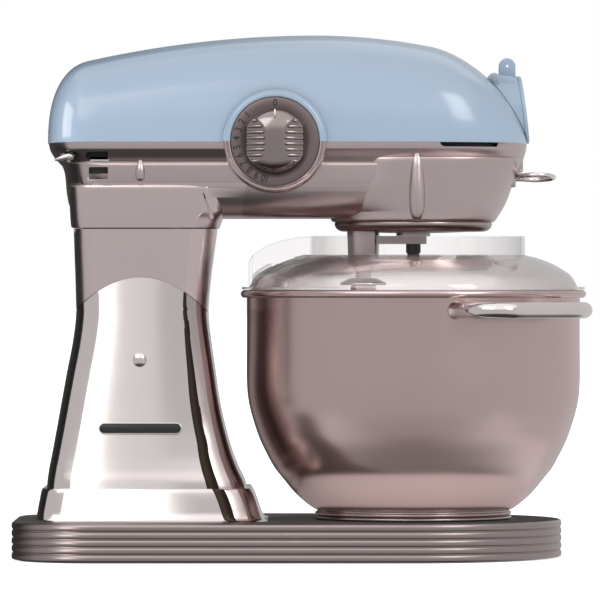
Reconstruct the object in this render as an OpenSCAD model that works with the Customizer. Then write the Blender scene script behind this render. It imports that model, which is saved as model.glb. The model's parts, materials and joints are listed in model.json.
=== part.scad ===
// Tilt-head stand mixer, built from its separate pieces.
// Frame: +X towards the beater end, +Z up, Y = 0 is the plane of symmetry and the speed knob is on -Y.
// Origin: where the axis of the mixing hub meets the surface the mixer stands on.

/* [Base] */
// rearmost point of the base
base_rear = -284; // [-290:1:-278]
// foremost point of the base
base_front = 104; // [100:1:110]
// half the width of the base
base_half = 110; // [106:1:114]
// corner radius at the rear of the base
base_corner = 60; // [50:1:70]
// height of the base's flat top
base_top = 27; // [26:0.5:28]
// height of one moulded rib round the base
rib_pitch = 5.24; // [5.2:0.01:5.28]
// number of ribs
rib_count = 5; // [5:1:5]
// wall of the castings
wall = 4; // [3.6:0.1:4.4]
// height of the rubber ring it stands on
foot_height = 2.6; // [2.4:0.1:2.8]
// width of the rubber ring
foot_width = 9; // [8:0.5:10]
// thickness of the steel bottom cover
sheet = 1.4; // [1.2:0.1:1.6]

/* [Column] */
// height of the parting between column and head
column_top = 231.2; // [231:0.1:231.4]
// thickness of the polished panel round the lower column
panel_thick = 2; // [1.8:0.1:2.2]
// top of the plinth the panel stands on
plinth_top = 49.5; // [49:0.5:50]
// height of the top of the arch in the panel
arch_top = 198; // [196:1:200]
// radius of the arch
arch_radius = 61; // [60:1:62]
// x of the middle of the arch, the button and the nameplate
arch_x = -192; // [-193:1:-191]
// height at which the arch meets the column edges
arch_spring = 176.5; // [176:0.5:177]
// height of the button
button_z = 140; // [136:1:144]
// radius of the button's dome
button_r = 4.75; // [4.5:0.05:5]
// height of the nameplate
plate_z = 90.7; // [88:0.1:94]
// length of the nameplate
plate_length = 58; // [54:1:60]
// height of the nameplate's face
plate_height = 7.8; // [7:0.1:8.6]

/* [Head hinge] */
// x of the hinge pin
pin_x = -236; // [-236:0.1:-235.8]
// height of the hinge pin
pin_z = 231.5; // [231.4:0.1:231.6]
// radius of the hinge pin
pin_r = 3; // [2.8:0.1:3.1]
// radius of the knuckle on the head
knuckle_r = 7.1; // [7:0.05:7.15]
// half the length of the head's knuckle
knuckle_half = 27.6; // [26:0.2:28]
// outer end of each column lug
lug_end = 46; // [44:0.5:46]

/* [Head] */
// height of the parting between cover and lower shell
part_z = 291.5; // [291:0.1:292]
// rearmost point of the head
head_rear = -257.6; // [-259:0.1:-256]
// foremost point of the head
head_front = 80.2; // [80:0.1:81]
// half the width of the head
head_half = 63; // [62:0.2:64]
// height of the highest point of the cover
crown_z = 368; // [366:0.5:370]
// x of the highest point
crown_x = -69; // [-71:1:-67]
// wall of the cover
cover_wall = 3; // [2.6:0.1:3.4]
// height of the arm's underside
arm_bottom = 241; // [240.8:0.1:241.4]
// height of the gear housing's underside
housing_bottom = 236.5; // [236.4:0.1:236.6]
// radius of the gear housing
housing_r = 58; // [57.6:0.1:58.4]
// height of the neck's underside
neck_bottom = 232; // [231.9:0.1:232.2]

/* [Dial] */
// x of the speed dial
dial_x = -97.4; // [-98:0.2:-96]
// height of the speed dial
dial_z = 292; // [291.6:0.1:292.4]
// outer radius of the bezel
bezel_r = 36.8; // [36:0.2:37.4]
// radius of the dial plate
dial_r = 31; // [30.5:0.1:31.5]
// radius of the knob
knob_r = 22; // [21:0.2:23]
// y of the dial plate's face
dial_face = -66.4; // [-67:0.1:-66]
// depth of the knob
knob_depth = 17; // [15:0.5:19]

/* [Nose] */
// height of the accessory outlet's axis
outlet_z = 313; // [313:0.1:313]
// radius of the flap's round face
flap_r = 23.9; // [23.5:0.1:24]
// height of the middle of the flap
flap_z = 315.5; // [315.3:0.1:315.7]
// x of the flap's hinge
flap_pin_x = 56.7; // [56.5:0.1:57]
// height of the flap's hinge
flap_pin_z = 337.1; // [337:0.1:337.3]
// height of the ring pull
ring_z = 268; // [267:0.5:269]
// outer radius of the ring
ring_r = 11.6; // [11:0.2:12]
// thickness of the ring
ring_wire = 4.6; // [4:0.2:5]
// x of the middle of the ring
ring_x = 88; // [87:0.5:89]

/* [Drive] */
// distance from the hub axis to the beater's axis
beater_offset = 35.25; // [35.25:0.01:35.25]
// radius of the motor stator
stator_r = 33; // [32:0.5:33]
// height of the motor shaft
motor_z = 279; // [279:0.1:279]
// rear face of the stator
stator_rear = -196; // [-197:0.5:-195]
// length of the stator
stator_length = 50; // [48:1:50]
// radius of the vertical main shaft
main_r = 7.5; // [7.3:0.1:7.7]
// running clearance on the radius of every shaft
fit = 0.05; // [0.04:0.01:0.06]
// radius of the drip ring
drip_r = 55.5; // [55:0.1:56]

/* [Bowl] */
// radius of the bowl's straight wall
bowl_r = 117.5; // [117.4:0.1:117.8]
// height of the bowl's rim
bowl_top = 188.5; // [188.4:0.1:188.6]
// radius of the rolled rim
rim_r = 121.8; // [121.6:0.1:122]
// thickness of the bowl's steel
bowl_wall = 1.2; // [1:0.1:1.4]
// radius of the bowl's foot
bowl_foot_r = 69; // [68:0.5:69.5]
// height of the bowl's flat bottom
bowl_floor = 33.5; // [33.4:0.1:33.8]
// height of the handle
handle_z = 174.4; // [173:0.2:176]
// radius of the handle's tube
handle_r = 5.75; // [5.4:0.05:6]
// distance of the handle's grip from the bowl's axis
handle_reach = 147; // [144:0.5:149]
// half the length of the handle's grip
handle_half = 45.7; // [44:0.2:47]
// turn of the handle from the front (-Y) towards the nose
handle_turn = 36.8; // [30:0.4:40]

/* [Splash guard] */
// thickness of the clear plastic
guard_wall = 2.2; // [2:0.1:2.4]
// radius of the upright collar
collar_r = 78.7; // [78.4:0.1:79]
// top of the collar
collar_top = 226.3; // [226:0.1:226.4]
// half the width of the pouring chute
chute_half = 30; // [28:0.5:32]
// x of the outer lip of the chute
chute_lip = -116; // [-117:0.5:-115]

/* [Hidden] */
$fn = 96;
e = 0.01;
q = 9;             // steps in each quarter of a lofted outline
round_fn = 48;     // facets asked of small round pieces

// ---- column design sections: height, rear x, front x, half width ----
column_rows = [
  [27, -257, -120.4, 61.2], [50, -259, -118, 62.9], [62.8, -257.7, -123.3, 61],
  [72.7, -255.8, -127.3, 59.5], [92.5, -252.2, -133, 57], [112.3, -248.7, -137.2, 55],
  [132, -245, -140, 53], [151.8, -241.2, -142.8, 51.5], [171.6, -238.6, -144.9, 50.6],
  [181.4, -238.7, -144.6, 50.6], [199.8, -239.5, -142.8, 51], [216.7, -240.5, -140.6, 51.6],
  [231.2, -241, -138.6, 52]];
plinth_rows = [
  [27, -268, -102.5, 70], [28.2, -266.9, -105.6, 68.4], [31, -266, -107.2, 67.5],
  [43.8, -263.7, -111.6, 66.2], [48, -262.9, -113.7, 65.6], [50, -261.4, -115.3, 64.6]];
// ---- head shell sections: height, rear x, front x, half width ----
shell_rows = [
  [241, -228, 42, 38], [241.8, -234, 46, 44], [244, -239, 50, 48.8], [248, -242.6, 55, 52.4],
  [255, -244.2, 59, 55], [263, -245, 63, 56.4], [274.5, -246.4, 68, 57.4],
  [278, -250, 76.4, 60.6], [281, -252.6, 77.8, 61.6], [286.5, -256, 79.4, 62.2], [291.5, -257, 80, 62.4]];
housing_rows = [
  [236.5, -56.6, 56.6, 56.6], [237.7, -58, 58, 58], [242, -57.4, 60.8, 58.4], [249, -55.6, 64.9, 59.2],
  [262, -51, 69.9, 60.2], [272, -47, 73.9, 60.8], [279, -45, 76.6, 60.8]];
neck_rows = [
  [232, -243, -137.4, 53.2], [234, -243.2, -136.6, 53.6], [239, -243.6, -134.6, 54.2],
  [243, -244, -131, 54.6], [262, -245, -127, 55.4]];

housing_wall = 3;
cavity_floor = arm_bottom + 3.5;
column_inset = panel_thick + 0.1;
front_crease = 15.5;
front_facet = 22;
rear_round = 16;
latch_y = -35.5;
lever_wall = -40.6;
latch_x = -166;
latch_z = 252;
lever_x = -240;
lever_z = 282;
latch_arm = [9, 4];
link_rear = [lever_x, lever_z] + latch_arm;
link_front = [latch_x, latch_z] + latch_arm;
gear_module = 1;
motor_teeth = 12;
output_teeth = 56;
crown_module = 1.25;
crown_teeth = 48;
crown_pinion_teeth = 16;
planet_module = 1.5;
ring_teeth = 60;
planet_teeth = 13;
crown_r = crown_module * crown_teeth / 2;
gear_x = -106;
gear_width = 9;
output_r = 5;
button_y = -54.6;
gland_x = -240;
gland_z = 14;

// ---- shapes shared by several pieces ----

// Closed solid through rings of points that all have the same length, first ring lowest.
module loft(rings) {
  n = len(rings[0]);
  m = len(rings);
  polyhedron(
    points = [for (r = rings) for (p = r) p],
    faces = concat(
      [[for (i = [0 : n - 1]) i]],
      [for (j = [0 : m - 2]) for (i = [0 : n - 1]) [j * n + i, (j + 1) * n + i, (j + 1) * n + (i + 1) % n]],
      [for (j = [0 : m - 2]) for (i = [0 : n - 1])
        [j * n + i, (j + 1) * n + (i + 1) % n, j * n + (i + 1) % n]],
      [[for (i = [n - 1 : -1 : 0]) (m - 1) * n + i]]));
}

// One quadrant value of a superellipse.
function se(v, n) = v < 0 ? -pow(-v, 2 / n) : pow(v, 2 / n);

// Plan outline of the head: straight sides, squarish rear, rounded nose.
function head_plan(z, rear, front, half, rear_run, front_run, n_rear, n_front) =
  [for (i = [0 : 4 * q - 1]) let (a = 90 * i / q, c = cos(a), s = sin(a))
    abs(c) < 1e-9 ? [(rear + rear_run + front - front_run) / 2, half * sign(s), z] :
    c > 0 ? [front - front_run + front_run * se(c, n_front), half * se(s, n_front), z]
          : [rear + rear_run + rear_run * se(c, n_rear), half * se(s, n_rear), z]];

// Plan outline of the column: rounded rear corners and a facet on each front corner.
function column_plan(z, rear, front, half, inset) =
  let (r = rear_round - inset, xr = rear + inset, xf = front - inset, h = half - inset,
    side = concat(
      [[xf, h - front_facet], [xf - front_crease * 0.16, h - front_facet * 0.55],
       [xf - front_crease * 0.48, h - front_facet * 0.2], [xf - front_crease, h]],
      [for (i = [0 : 5]) [xr + r - r * sin(18 * i), h - r + r * cos(18 * i)]]))
  concat([for (p = side) [p[0], p[1], z]],
    [for (i = [len(side) - 1 : -1 : 0]) [side[i][0], -side[i][1], z]]);

// A box given by its two opposite corners.
module span(a, b) { translate(a) cube(b - a); }

// Cylinder along Y through (x, z) from y0 to y1.
module along_y(x, z, r, y0, y1) { translate([x, y1, z]) rotate([90, 0, 0]) cylinder(r = r, h = y1 - y0); }

// Cylinder along X at height z from x0 to x1.
module along_x(z, r, x0, x1) { translate([x0, 0, z]) rotate([0, 90, 0]) cylinder(r = r, h = x1 - x0); }

// Upright tube.
module tube(r_out, r_in, z0, z1) {
  translate([0, 0, z0]) difference() {
    cylinder(r = r_out, h = z1 - z0);
    translate([0, 0, -1]) cylinder(r = r_in, h = z1 - z0 + 2);
  }
}

// Angle function of an involute, in degrees.
function inv(a) = tan(a) * 180 / PI - a;
function half_tooth(r, pitch_r, teeth, thin) =
  let (rb = pitch_r * cos(20), rr = max(r, rb))
  90 / teeth - thin / pitch_r * 90 / PI + inv(20) - inv(acos(rb / rr));

// Outline of a gear; thin is taken off each tooth at the pitch circle for running clearance.
module gear_outline(m, teeth, add, ded, thin) {
  rp = m * teeth / 2;
  root = rp - ded;
  tip = rp + add;
  radii = [root, max(root + 0.1, rp - add * 0.45), rp + add * 0.3, tip];
  pitch = 360 / teeth;
  polygon([for (t = [0 : teeth - 1]) for (k = [-1, 1]) for (j = [0 : 3])
    let (r = k < 0 ? radii[j] : radii[3 - j], a = t * pitch + k * half_tooth(r, rp, teeth, thin))
    [r * cos(a), r * sin(a)]]);
}

// Wire spring along Z from 0 to length.
module coil(r, wire, turns, length) {
  steps = turns * 14;
  rings = [for (i = [0 : steps]) let (a = 360 * turns * i / steps, z = wire + (length - 2 * wire) * i / steps)
    [for (k = [5 : -1 : 0]) let (b = 60 * k)
      [(r + wire * cos(b)) * cos(a), (r + wire * cos(b)) * sin(a), z + wire * sin(b)]]];
  loft(rings);
}

// ---- base ----

module base_outline(inset) {
  r = base_half - inset;
  translate([base_front - base_half, 0]) circle(r = r);
  rc = base_corner - inset;
  for (s = [-1, 1]) translate([base_rear + base_corner, s * (base_half - base_corner)]) circle(r = rc);
  translate([base_rear + base_corner, -r]) square([base_front - base_half - base_rear - base_corner, 2 * r]);
  translate([base_rear + inset, -base_half + base_corner])
    square([base_corner, 2 * (base_half - base_corner)]);
}

module rib_section(z) { translate([0, z]) circle(r = rib_pitch / 2, $fn = round_fn); }

module base_ribs() {
  c = base_half - rib_pitch / 2;
  cc = base_corner - rib_pitch / 2;
  x0 = base_rear + base_corner;
  x1 = base_front - base_half;
  for (i = [0 : rib_count - 1]) {
    z = base_top - rib_pitch * (i + 0.5);
    translate([x1, 0, 0]) rotate([0, 0, -90]) rotate_extrude(angle = 180) translate([c, 0]) rib_section(z);
    for (s = [-1, 1]) {
      translate([x0, s * c, z]) rotate([0, 90, 0]) cylinder(r = rib_pitch / 2, h = x1 - x0, $fn = round_fn);
      translate([x0, s * (base_half - base_corner), 0]) rotate([0, 0, s > 0 ? 90 : 180])
        rotate_extrude(angle = 90) translate([cc, 0]) rib_section(z);
    }
    translate([base_rear + rib_pitch / 2, base_half - base_corner, z]) rotate([90, 0, 0])
      cylinder(r = rib_pitch / 2, h = 2 * (base_half - base_corner), $fn = round_fn);
  }
}

screw_spots = [[70, 45], [70, -45], [-60, 85], [-60, -85], [-255, 60], [-255, -60]];
bolt_spots = [[-235, 40], [-235, -40], [-150, 36], [-150, -36]];
skirt = base_top - rib_pitch * rib_count;

module base_casting() {
  color([0.56, 0.51, 0.51]) difference() {
    union() {
      base_ribs();
      difference() {
        translate([0, 0, skirt + 0.4]) linear_extrude(base_top - skirt - 0.4) base_outline(rib_pitch / 2);
        translate([0, 0, -1]) linear_extrude(base_top - wall + 1) base_outline(wall + 2);
      }
      for (p = screw_spots) translate([p[0], p[1], foot_height + sheet]) cylinder(r = 6, h = base_top - 6);
      for (p = bolt_spots) translate([p[0], p[1], 12]) cylinder(r = 9, h = base_top - 12 - e);
      translate([0, 0, 12]) cylinder(r = 30, h = base_top - 12 - e);
    }
    for (p = screw_spots) translate([p[0], p[1], -1]) cylinder(r = 2, h = base_top - 6);
    for (p = bolt_spots) translate([p[0], p[1], 0]) cylinder(r = 4.1, h = base_top + 1);
    translate([0, 0, 11]) cylinder(r = 4.1, h = base_top);
    translate([-192, 0, base_top - wall - 1]) cylinder(r = 14, h = wall + 2);
    translate([gland_x, base_half - 20, gland_z]) rotate([-90, 0, 0]) cylinder(r = 6, h = 30);
    translate([gland_x, base_half - 3, gland_z]) rotate([-90, 0, 0]) cylinder(r = 8.6, h = 10);
    translate([gland_x, base_half - 26, gland_z]) rotate([-90, 0, 0]) cylinder(r = 8.6, h = 18);
  }
}

module bottom_cover() {
  color([0.45, 0.45, 0.46]) difference() {
    translate([0, 0, foot_height]) linear_extrude(sheet) base_outline(wall + 3);
    for (p = screw_spots) translate([p[0], p[1], 0]) cylinder(r = 2.3, h = base_top);
    for (x = [-210 : 12 : -174]) for (y = [-24 : 12 : 24]) translate([x, y, 0]) cylinder(r = 3, h = base_top);
  }
}

module foot_ring() {
  color([0.12, 0.12, 0.12]) linear_extrude(foot_height) difference() {
    base_outline(wall + 4);
    base_outline(wall + 4 + foot_width);
  }
}

module bottom_screws() {
  color([0.7, 0.7, 0.7]) for (p = screw_spots) translate([p[0], p[1], 0]) difference() {
    union() {
      translate([0, 0, foot_height - 1.6]) cylinder(r = 3.8, h = 1.6);
      translate([0, 0, foot_height - e]) cylinder(r = 2, h = 12);
    }
    for (a = [0, 90]) rotate([0, 0, a]) translate([-2.2, -0.4, foot_height - 2]) cube([4.4, 0.8, 1.2]);
  }
}

module column_bolts() {
  color([0.62, 0.62, 0.64]) {
    for (p = bolt_spots) translate([p[0], p[1], 8]) {
      cylinder(r = 6.5, h = 4, $fn = 6);
      cylinder(r = 4, h = 26);
    }
    translate([0, 0, 8]) { cylinder(r = 6.5, h = 4, $fn = 6); cylinder(r = 4, h = 21); }
  }
}

seat_top = base_top + 5.6;
lug_under = base_top + 3;

module bowl_seat() {
  color([0.55, 0.54, 0.54]) translate([0, 0, base_top]) difference() {
    union() {
      cylinder(r = 52, h = seat_top - base_top);
      for (a = [30, 150, 270]) rotate([0, 0, a]) translate([0, 0, lug_under - base_top])
        rotate_extrude(angle = 24) translate([50, 0]) square([9, seat_top - lug_under]);
    }
    translate([0, 0, 2.2]) cylinder(r = 44, h = 10);
    translate([0, 0, -1]) cylinder(r = 4.1, h = 10);
  }
}

module cord_gland() {
  color([0.1, 0.1, 0.1]) translate([gland_x, base_half - 11, gland_z]) rotate([-90, 0, 0]) difference() {
    union() {
      cylinder(r = 6, h = 9);
      translate([0, 0, 8]) cylinder(r = 8.5, h = 3);
      cylinder(r = 8.5, h = 3);
    }
    translate([0, 0, -3]) cylinder(r = 3.6, h = 20);
  }
}

// ---- column ----

// Column between two heights; over lengthens a cutting copy past both ends.
module column_solid(inset, z0, z1, over = 0) {
  rows = [for (r = column_rows) if (r[0] >= z0 - e && r[0] <= z1 + e) r];
  all = over == 0 ? rows : concat([rows[0] - [over, 0, 0, 0]], rows, [rows[len(rows) - 1] + [over, 0, 0, 0]]);
  loft([for (r = all) column_plan(r[0], r[1], r[2], r[3], inset)]);
}

// Everything below the arch line of the panel, grown by g.
module arch_zone(g) {
  along_y(arch_x, arch_top - arch_radius, arch_radius + g, -90, 90);
  span([-290, -90, 0], [-90, 90, arch_spring + g]);
}

module column() {
  color([0.63, 0.57, 0.57]) difference() {
    union() {
      difference() {
        column_solid(0, 27, column_top);
        difference() {
          arch_zone(0.1);
          column_solid(column_inset, 27, column_top, 2);
        }
        difference() {
          column_cavity();
          span([-300, -80, 20], [0, 80, base_top + wall]);
        }
        along_y(pin_x, pin_z, knuckle_r + 0.5, -80, 80);
      }
      for (s = [-1, 1]) lug(s);
      for (p = bolt_spots) translate([p[0], p[1], base_top]) cylinder(r = 8.5, h = 11);
    }
    span([-222, -30, 20], [-164, 30, base_top + wall + 1]);
    for (p = bolt_spots) translate([p[0], p[1], 20]) cylinder(r = 4.05, h = 40);
    along_y(pin_x, pin_z, pin_r, -lug_end - 1, lug_end + 1);
    span([latch_x - 7, latch_y - 4, 200], [latch_x + 19.5, latch_y + 4, 240]);
    translate([-200, 0, 200]) cylinder(r = 9, h = 40);
    along_y(arch_x, button_z, 2.2 + fit, -70, -30);
    along_y(arch_x, button_z, 3.7, -70, button_y + 6.3);
  }
}

module column_cavity() { column_solid(column_inset + wall, 27, 216.7, 1); }

module lug(s) {
  y0 = s > 0 ? knuckle_half + 0.5 : -lug_end;
  y1 = s > 0 ? lug_end : -knuckle_half - 0.5;
  along_y(pin_x, pin_z, 5.6, y0, y1);
  span([pin_x - 4.4, y0, pin_z - 13], [pin_x + 9, y1, pin_z - 1]);
}

module column_panel() {
  color([0.78, 0.74, 0.73]) difference() {
    intersection() {
      column_solid(0, 50, 199.8);
      arch_zone(0);
    }
    column_solid(column_inset - 0.1, 50, 199.8, 2);
    along_y(arch_x, button_z, 3.7, -70, -30);
  }
}

module column_plinth() {
  color([0.70, 0.66, 0.66]) difference() {
    loft([for (r = plinth_rows) column_plan(r[0], r[1], r[2], r[3], 0)]);
    column_solid(column_inset - 0.05, 27, 50, 3);
  }
}

module nameplate() {
  slope = 7.2;
  color([0.08, 0.08, 0.08]) translate([arch_x, -57.5, plate_z]) rotate([90 - slope, 0, 0])
    linear_extrude(1.6) {
      for (s = [-1, 1]) translate([s * (plate_length - plate_height) / 2, 0]) circle(r = plate_height / 2);
      square([plate_length - plate_height, plate_height], center = true);
    }
}

module column_button() {
  color([0.85, 0.85, 0.86]) translate([arch_x, button_y, button_z]) rotate([90, 0, 0]) {
    intersection() {
      translate([0, 0, -4.2]) sphere(r = 7.2);
      cylinder(r = button_r, h = 6);
    }
    translate([0, 0, -10.6]) cylinder(r = 2.2, h = 11);
    translate([0, 0, -10.6]) cylinder(r = 3.8, h = 1.2);
  }
}

module button_spring() {
  color([0.7, 0.7, 0.7]) translate([arch_x, button_y + 0.1, button_z]) rotate([-90, 0, 0])
    coil(2.9, 0.35, 4, 6.1);
}

module control_board() {
  color([0.1, 0.35, 0.2]) {
    span([-226, -1, base_top + wall], [-160, 0.6, 150]);
    span([-215, 0.6, 84], [-195, 14, 112]);
    translate([-180, 0.6, 100]) rotate([-90, 0, 0]) cylinder(r = 8, h = 22);
    span([-212, -9, 120], [-178, -1, 138]);
  }
}

// ---- head hinge and latch ----

module hinge_pin() {
  color([0.72, 0.72, 0.73]) along_y(pin_x, pin_z, pin_r, -lug_end, lug_end);
}

module release_lever() {
  color([0.85, 0.85, 0.86]) {
    along_y(lever_x, lever_z, 2.5, -52, latch_y - 2.2);
    difference() {
      span([lever_x - 11, -51.6, lever_z - 1], [lever_x, -44, lever_z + 1.2]);
      along_y(lever_x - 5.5, lever_z + 9.4, 8.6, -54, -43);
    }
    strut([lever_x, lever_z], link_rear, 2.8, latch_y - 4.4, latch_y - 2);
    along_y(link_rear[0], link_rear[1], 1.2, latch_y - 3, latch_y);
  }
}

// Flat bar in the XZ plane with round ends, from a to b, w half wide.
module strut(a, b, w, y0, y1) {
  d = b - a;
  for (p = [a, b]) along_y(p[0], p[1], w, y0, y1);
  translate([a[0], y0 + 0.2, a[1]]) rotate([0, atan2(-d[1], d[0]), 0]) translate([0, 0, -0.7 * w])
    cube([norm(d), y1 - y0 - 0.4, 1.4 * w]);
}

module latch_link() {
  color([0.6, 0.6, 0.62]) difference() {
    strut(link_rear, link_front, 2.6, latch_y - 1.6, latch_y);
    for (p = [link_rear, link_front]) along_y(p[0], p[1], 1.2 + fit, latch_y - 4, latch_y + 2);
  }
}

module latch_hook() {
  color([0.66, 0.66, 0.68]) {
    difference() {
      union() {
        along_y(latch_x, latch_z, 5, latch_y + 0.6, latch_y + 3);
        strut([latch_x, latch_z], link_front, 2.4, latch_y + 0.6, latch_y + 3);
        span([latch_x - 2, latch_y + 0.6, 217.5], [latch_x + 2, latch_y + 3, latch_z]);
        span([latch_x - 2, latch_y + 0.6, 217.5], [latch_x + 7, latch_y + 3, 220.8]);
      }
      along_y(latch_x, latch_z, 2 + fit, latch_y - 1, latch_y + 8);
    }
    along_y(link_front[0], link_front[1], 1.2, latch_y - 1.6, latch_y + 0.7);
  }
}

// ---- head covers ----

// Height of the crown line and half width of the head at x.
function crown(x) = crown_z - (x < crown_x ? 0.0007 : 0.0012) * pow(x - crown_x, 2);
function rear_share(x, run) = max(0, (head_rear + run - x) / run);
function rise(x) = (crown(x) - part_z) * pow(1 - pow(rear_share(x, 30), 2.5), 1 / 2.5)
  * pow(1 - pow(max(0, (x - 12) / (head_front - 12)), 1.9), 1 / 1.95);
function breadth(x) = head_half * pow(1 - pow(rear_share(x, 34), 2.6), 1 / 2.6)
  * pow(1 - pow(max(0, (x + 5) / (head_front + 5)), 2.3), 1 / 2.3);

// Solid of the blue cover, shrunk by t.
module cover_solid(t, steps) {
  xr = head_rear + t;
  xf = head_front - t;
  stations = concat(
    [for (i = [0 : 6]) let (a = 6 + 84 * i / 6) xr + 34 * (1 - sin(a))],
    [for (i = [1 : 7]) xr + 34 + (12 - xr - 34) * i / 7],
    [for (i = [1 : 11]) 12 + (xf - 12) * sin(87 * i / 11)]);
  sorted = [for (i = [6 : -1 : 0]) stations[i]];
  all_x = concat(sorted, [for (i = [7 : 24]) stations[i]]);
  loft([for (x = all_x)
    let (k = (x - crown_x) * t / 190, w = breadth(x + k) - t, h = rise(x + k) - t)
    [for (i = [0 : steps]) let (a = 180 * i / steps)
      [x, max(w, 2) * se(cos(a), 2.6), part_z + max(h, 1.5) * se(sin(a), 2.6)]]]);
}

module bezel_ring(r_out, r_in, y0, y1) {
  difference() {
    along_y(dial_x, dial_z, r_out, y0, y1);
    along_y(dial_x, dial_z, r_in, y0 - 1, y1 + 1);
  }
}

module head_cover() {
  color([0.68, 0.76, 0.83]) difference() {
    union() {
      cover_solid(0, 24);
      intersection() {
        bezel_ring(bezel_r, dial_r, dial_face - 1.8, -58);
        span([-150, -90, part_z], [-50, 0, 340]);
      }
      for (s = [-1, 1]) flap_ear(s);
    }
    translate([0, 0, -e]) cover_solid(cover_wall, 16);
    along_y(dial_x, dial_z, dial_r, dial_face - 3, -40);
    along_x(outlet_z, 16, 40, 90);
    along_y(flap_pin_x, flap_pin_z, 5, -14.4, 14.4);
    along_y(flap_pin_x, flap_pin_z, 1.5, -19, 19);
  }
}

module flap_ear(s) {
  along_y(flap_pin_x, flap_pin_z, 4.5, s > 0 ? 14.4 : -18.4, s > 0 ? 18.4 : -14.4);
}

module shell_outer() {
  loft([for (r = shell_rows) head_plan(r[0], r[1], r[2], r[3], 34, 86, 2.6, 2.3)]);
  loft([for (r = neck_rows) column_plan(r[0], r[1], r[2], r[3], 0)]);
  loft([for (r = housing_rows) head_plan(r[0], r[1], r[2], r[3], -r[1], r[2], 2, 2 + (r[0] - 236.5) / 141)]);
  for (s = [-1, 1]) {
    translate([2.6, s * 57.6, 0]) rotate_extrude()
      polygon([[0, 237.2], [2.6, 238.4], [4.6, 243], [5.6, 256], [5, 270], [3.6, 280], [0, 286]]);
    translate([arch_x, s * 56, 0]) rotate_extrude()
      polygon([[0, 264], [2.4, 265], [3.6, 268], [3.2, 275], [0, 281]]);
  }
}

// Walls of the pocket that holds the release lever.
module pocket_walls() { span([-262, -70, lever_z - 9], [lever_x + 8, lever_wall, lever_z + 8]); }

module head_shell() {
  color([0.66, 0.61, 0.61]) difference() {
    union() {
      difference() {
        shell_outer();
        difference() {
          loft([for (r = shell_rows) if (r[0] > 243)
            head_plan(r[0] == 244 ? cavity_floor : r[0] + (r[0] > 290 ? e : 0),
              r[1] + wall, r[2] - wall, r[3] - wall, 32, 84, 2.6, 2.3)]);
          pocket_walls();
        }
        loft([for (z = [neck_bottom + wall, 262]) column_plan(z, -243 + wall, -136 - wall, 54 - wall, 0)]);
        translate([0, 0, housing_bottom + 2]) cylinder(r = housing_r - housing_wall, h = 30);
      }
      along_y(pin_x, pin_z, knuckle_r, -knuckle_half, knuckle_half);
      span([pin_x, -knuckle_half, neck_bottom], [pin_x + 12, knuckle_half, neck_bottom + wall + 1]);
      intersection() {
        union() {
          bezel_ring(bezel_r, bezel_r - 2.2, dial_face - 1.8, -56);
          bezel_ring(bezel_r - 3, dial_r, dial_face - 1.8, -56);
          bezel_ring(bezel_r, dial_r, dial_face - 0.8, -56);
        }
        span([-150, -90, 240], [-50, 0, part_z]);
      }
      span([58.4, -7, ring_z - 7], [72.2, 7, ring_z + 7]);
      span([68, -3.4, ring_z + 4], [77.4, 3.4, ring_z + 13.4]);
      along_y(latch_x, latch_z, 2, -50.6, latch_y + 4);
      along_y(latch_x, latch_z, 3.4, latch_y + 3.3, latch_y + 4.6);
    }
    for (s = [-1, 1]) along_y(pin_x, pin_z, knuckle_r + 0.6, s > 0 ? knuckle_half : -lug_end - 0.4,
      s > 0 ? lug_end + 0.4 : -knuckle_half);
    along_y(pin_x, pin_z, pin_r + fit, -60, 60);
    translate([0, 0, 230]) cylinder(r = 47, h = 10);
    along_y(dial_x, dial_z, dial_r, dial_face - 3, -40);
    span([latch_x - 7, latch_y - 4, 228], [latch_x + 15.5, latch_y + 4, 238]);
    translate([-200, 0, 228]) cylinder(r = 9, h = 10);
    // ventilation openings near the rear corner and the slot under the cover's edge
    for (s = [-1, 1]) {
      span([-230.5, s > 0 ? 50 : -70, 279.6], [-215, s > 0 ? 70 : -50, 285]);
      span([-230, s > 0 ? 50 : -70, 265.5], [-215, s > 0 ? 70 : -50, 274.2]);
      span([18, s > 0 ? 40 : -70, part_z - 3], [64, s > 0 ? 70 : -40, part_z + 1]);
    }
    // pocket of the release lever
    span([-263, -71, lever_z - 5.2], [lever_x + 3.4, lever_wall - 2, lever_z + 4]);
    along_y(lever_x, lever_z, 2.5 + fit, -58, -30);
    along_x(ring_z, 3 + fit, 55, 90);
    along_x(outlet_z, 16, 40, 90);
  }
}

// ---- dial and knob ----

module dial_plate() {
  color([0.42, 0.39, 0.38]) difference() {
    along_y(dial_x, dial_z, dial_r, dial_face, dial_face + 2.2);
    along_y(dial_x, dial_z, 4.5, dial_face - 1, dial_face + 4);
    for (k = [0 : 10]) {
      a = k == 0 ? 0 : 46 + 13.2 * (k - 1);
      translate([dial_x, dial_face - e, dial_z]) rotate([0, -a, 0])
        span([-0.4, 0, knob_r + 1.2], [0.4, 0.5, knob_r + 3.4]);
    }
  }
}

module speed_switch() {
  color([0.2, 0.2, 0.22]) {
    difference() {
      along_y(dial_x, dial_z, 16, dial_face + 2.2, dial_face + 18);
      along_y(dial_x, dial_z, 3.9 + fit, dial_face, dial_face + 7);
    }
    difference() {
      along_y(dial_x, dial_z, dial_r, dial_face + 2.2, dial_face + 5);
      along_y(dial_x, dial_z, 15, dial_face, dial_face + 8);
    }
    for (x = [dial_x - 6, dial_x, dial_x + 6])
      span([x - 1, dial_face + 17, dial_z - 2], [x + 1, dial_face + 22, dial_z + 2]);
  }
}

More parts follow.
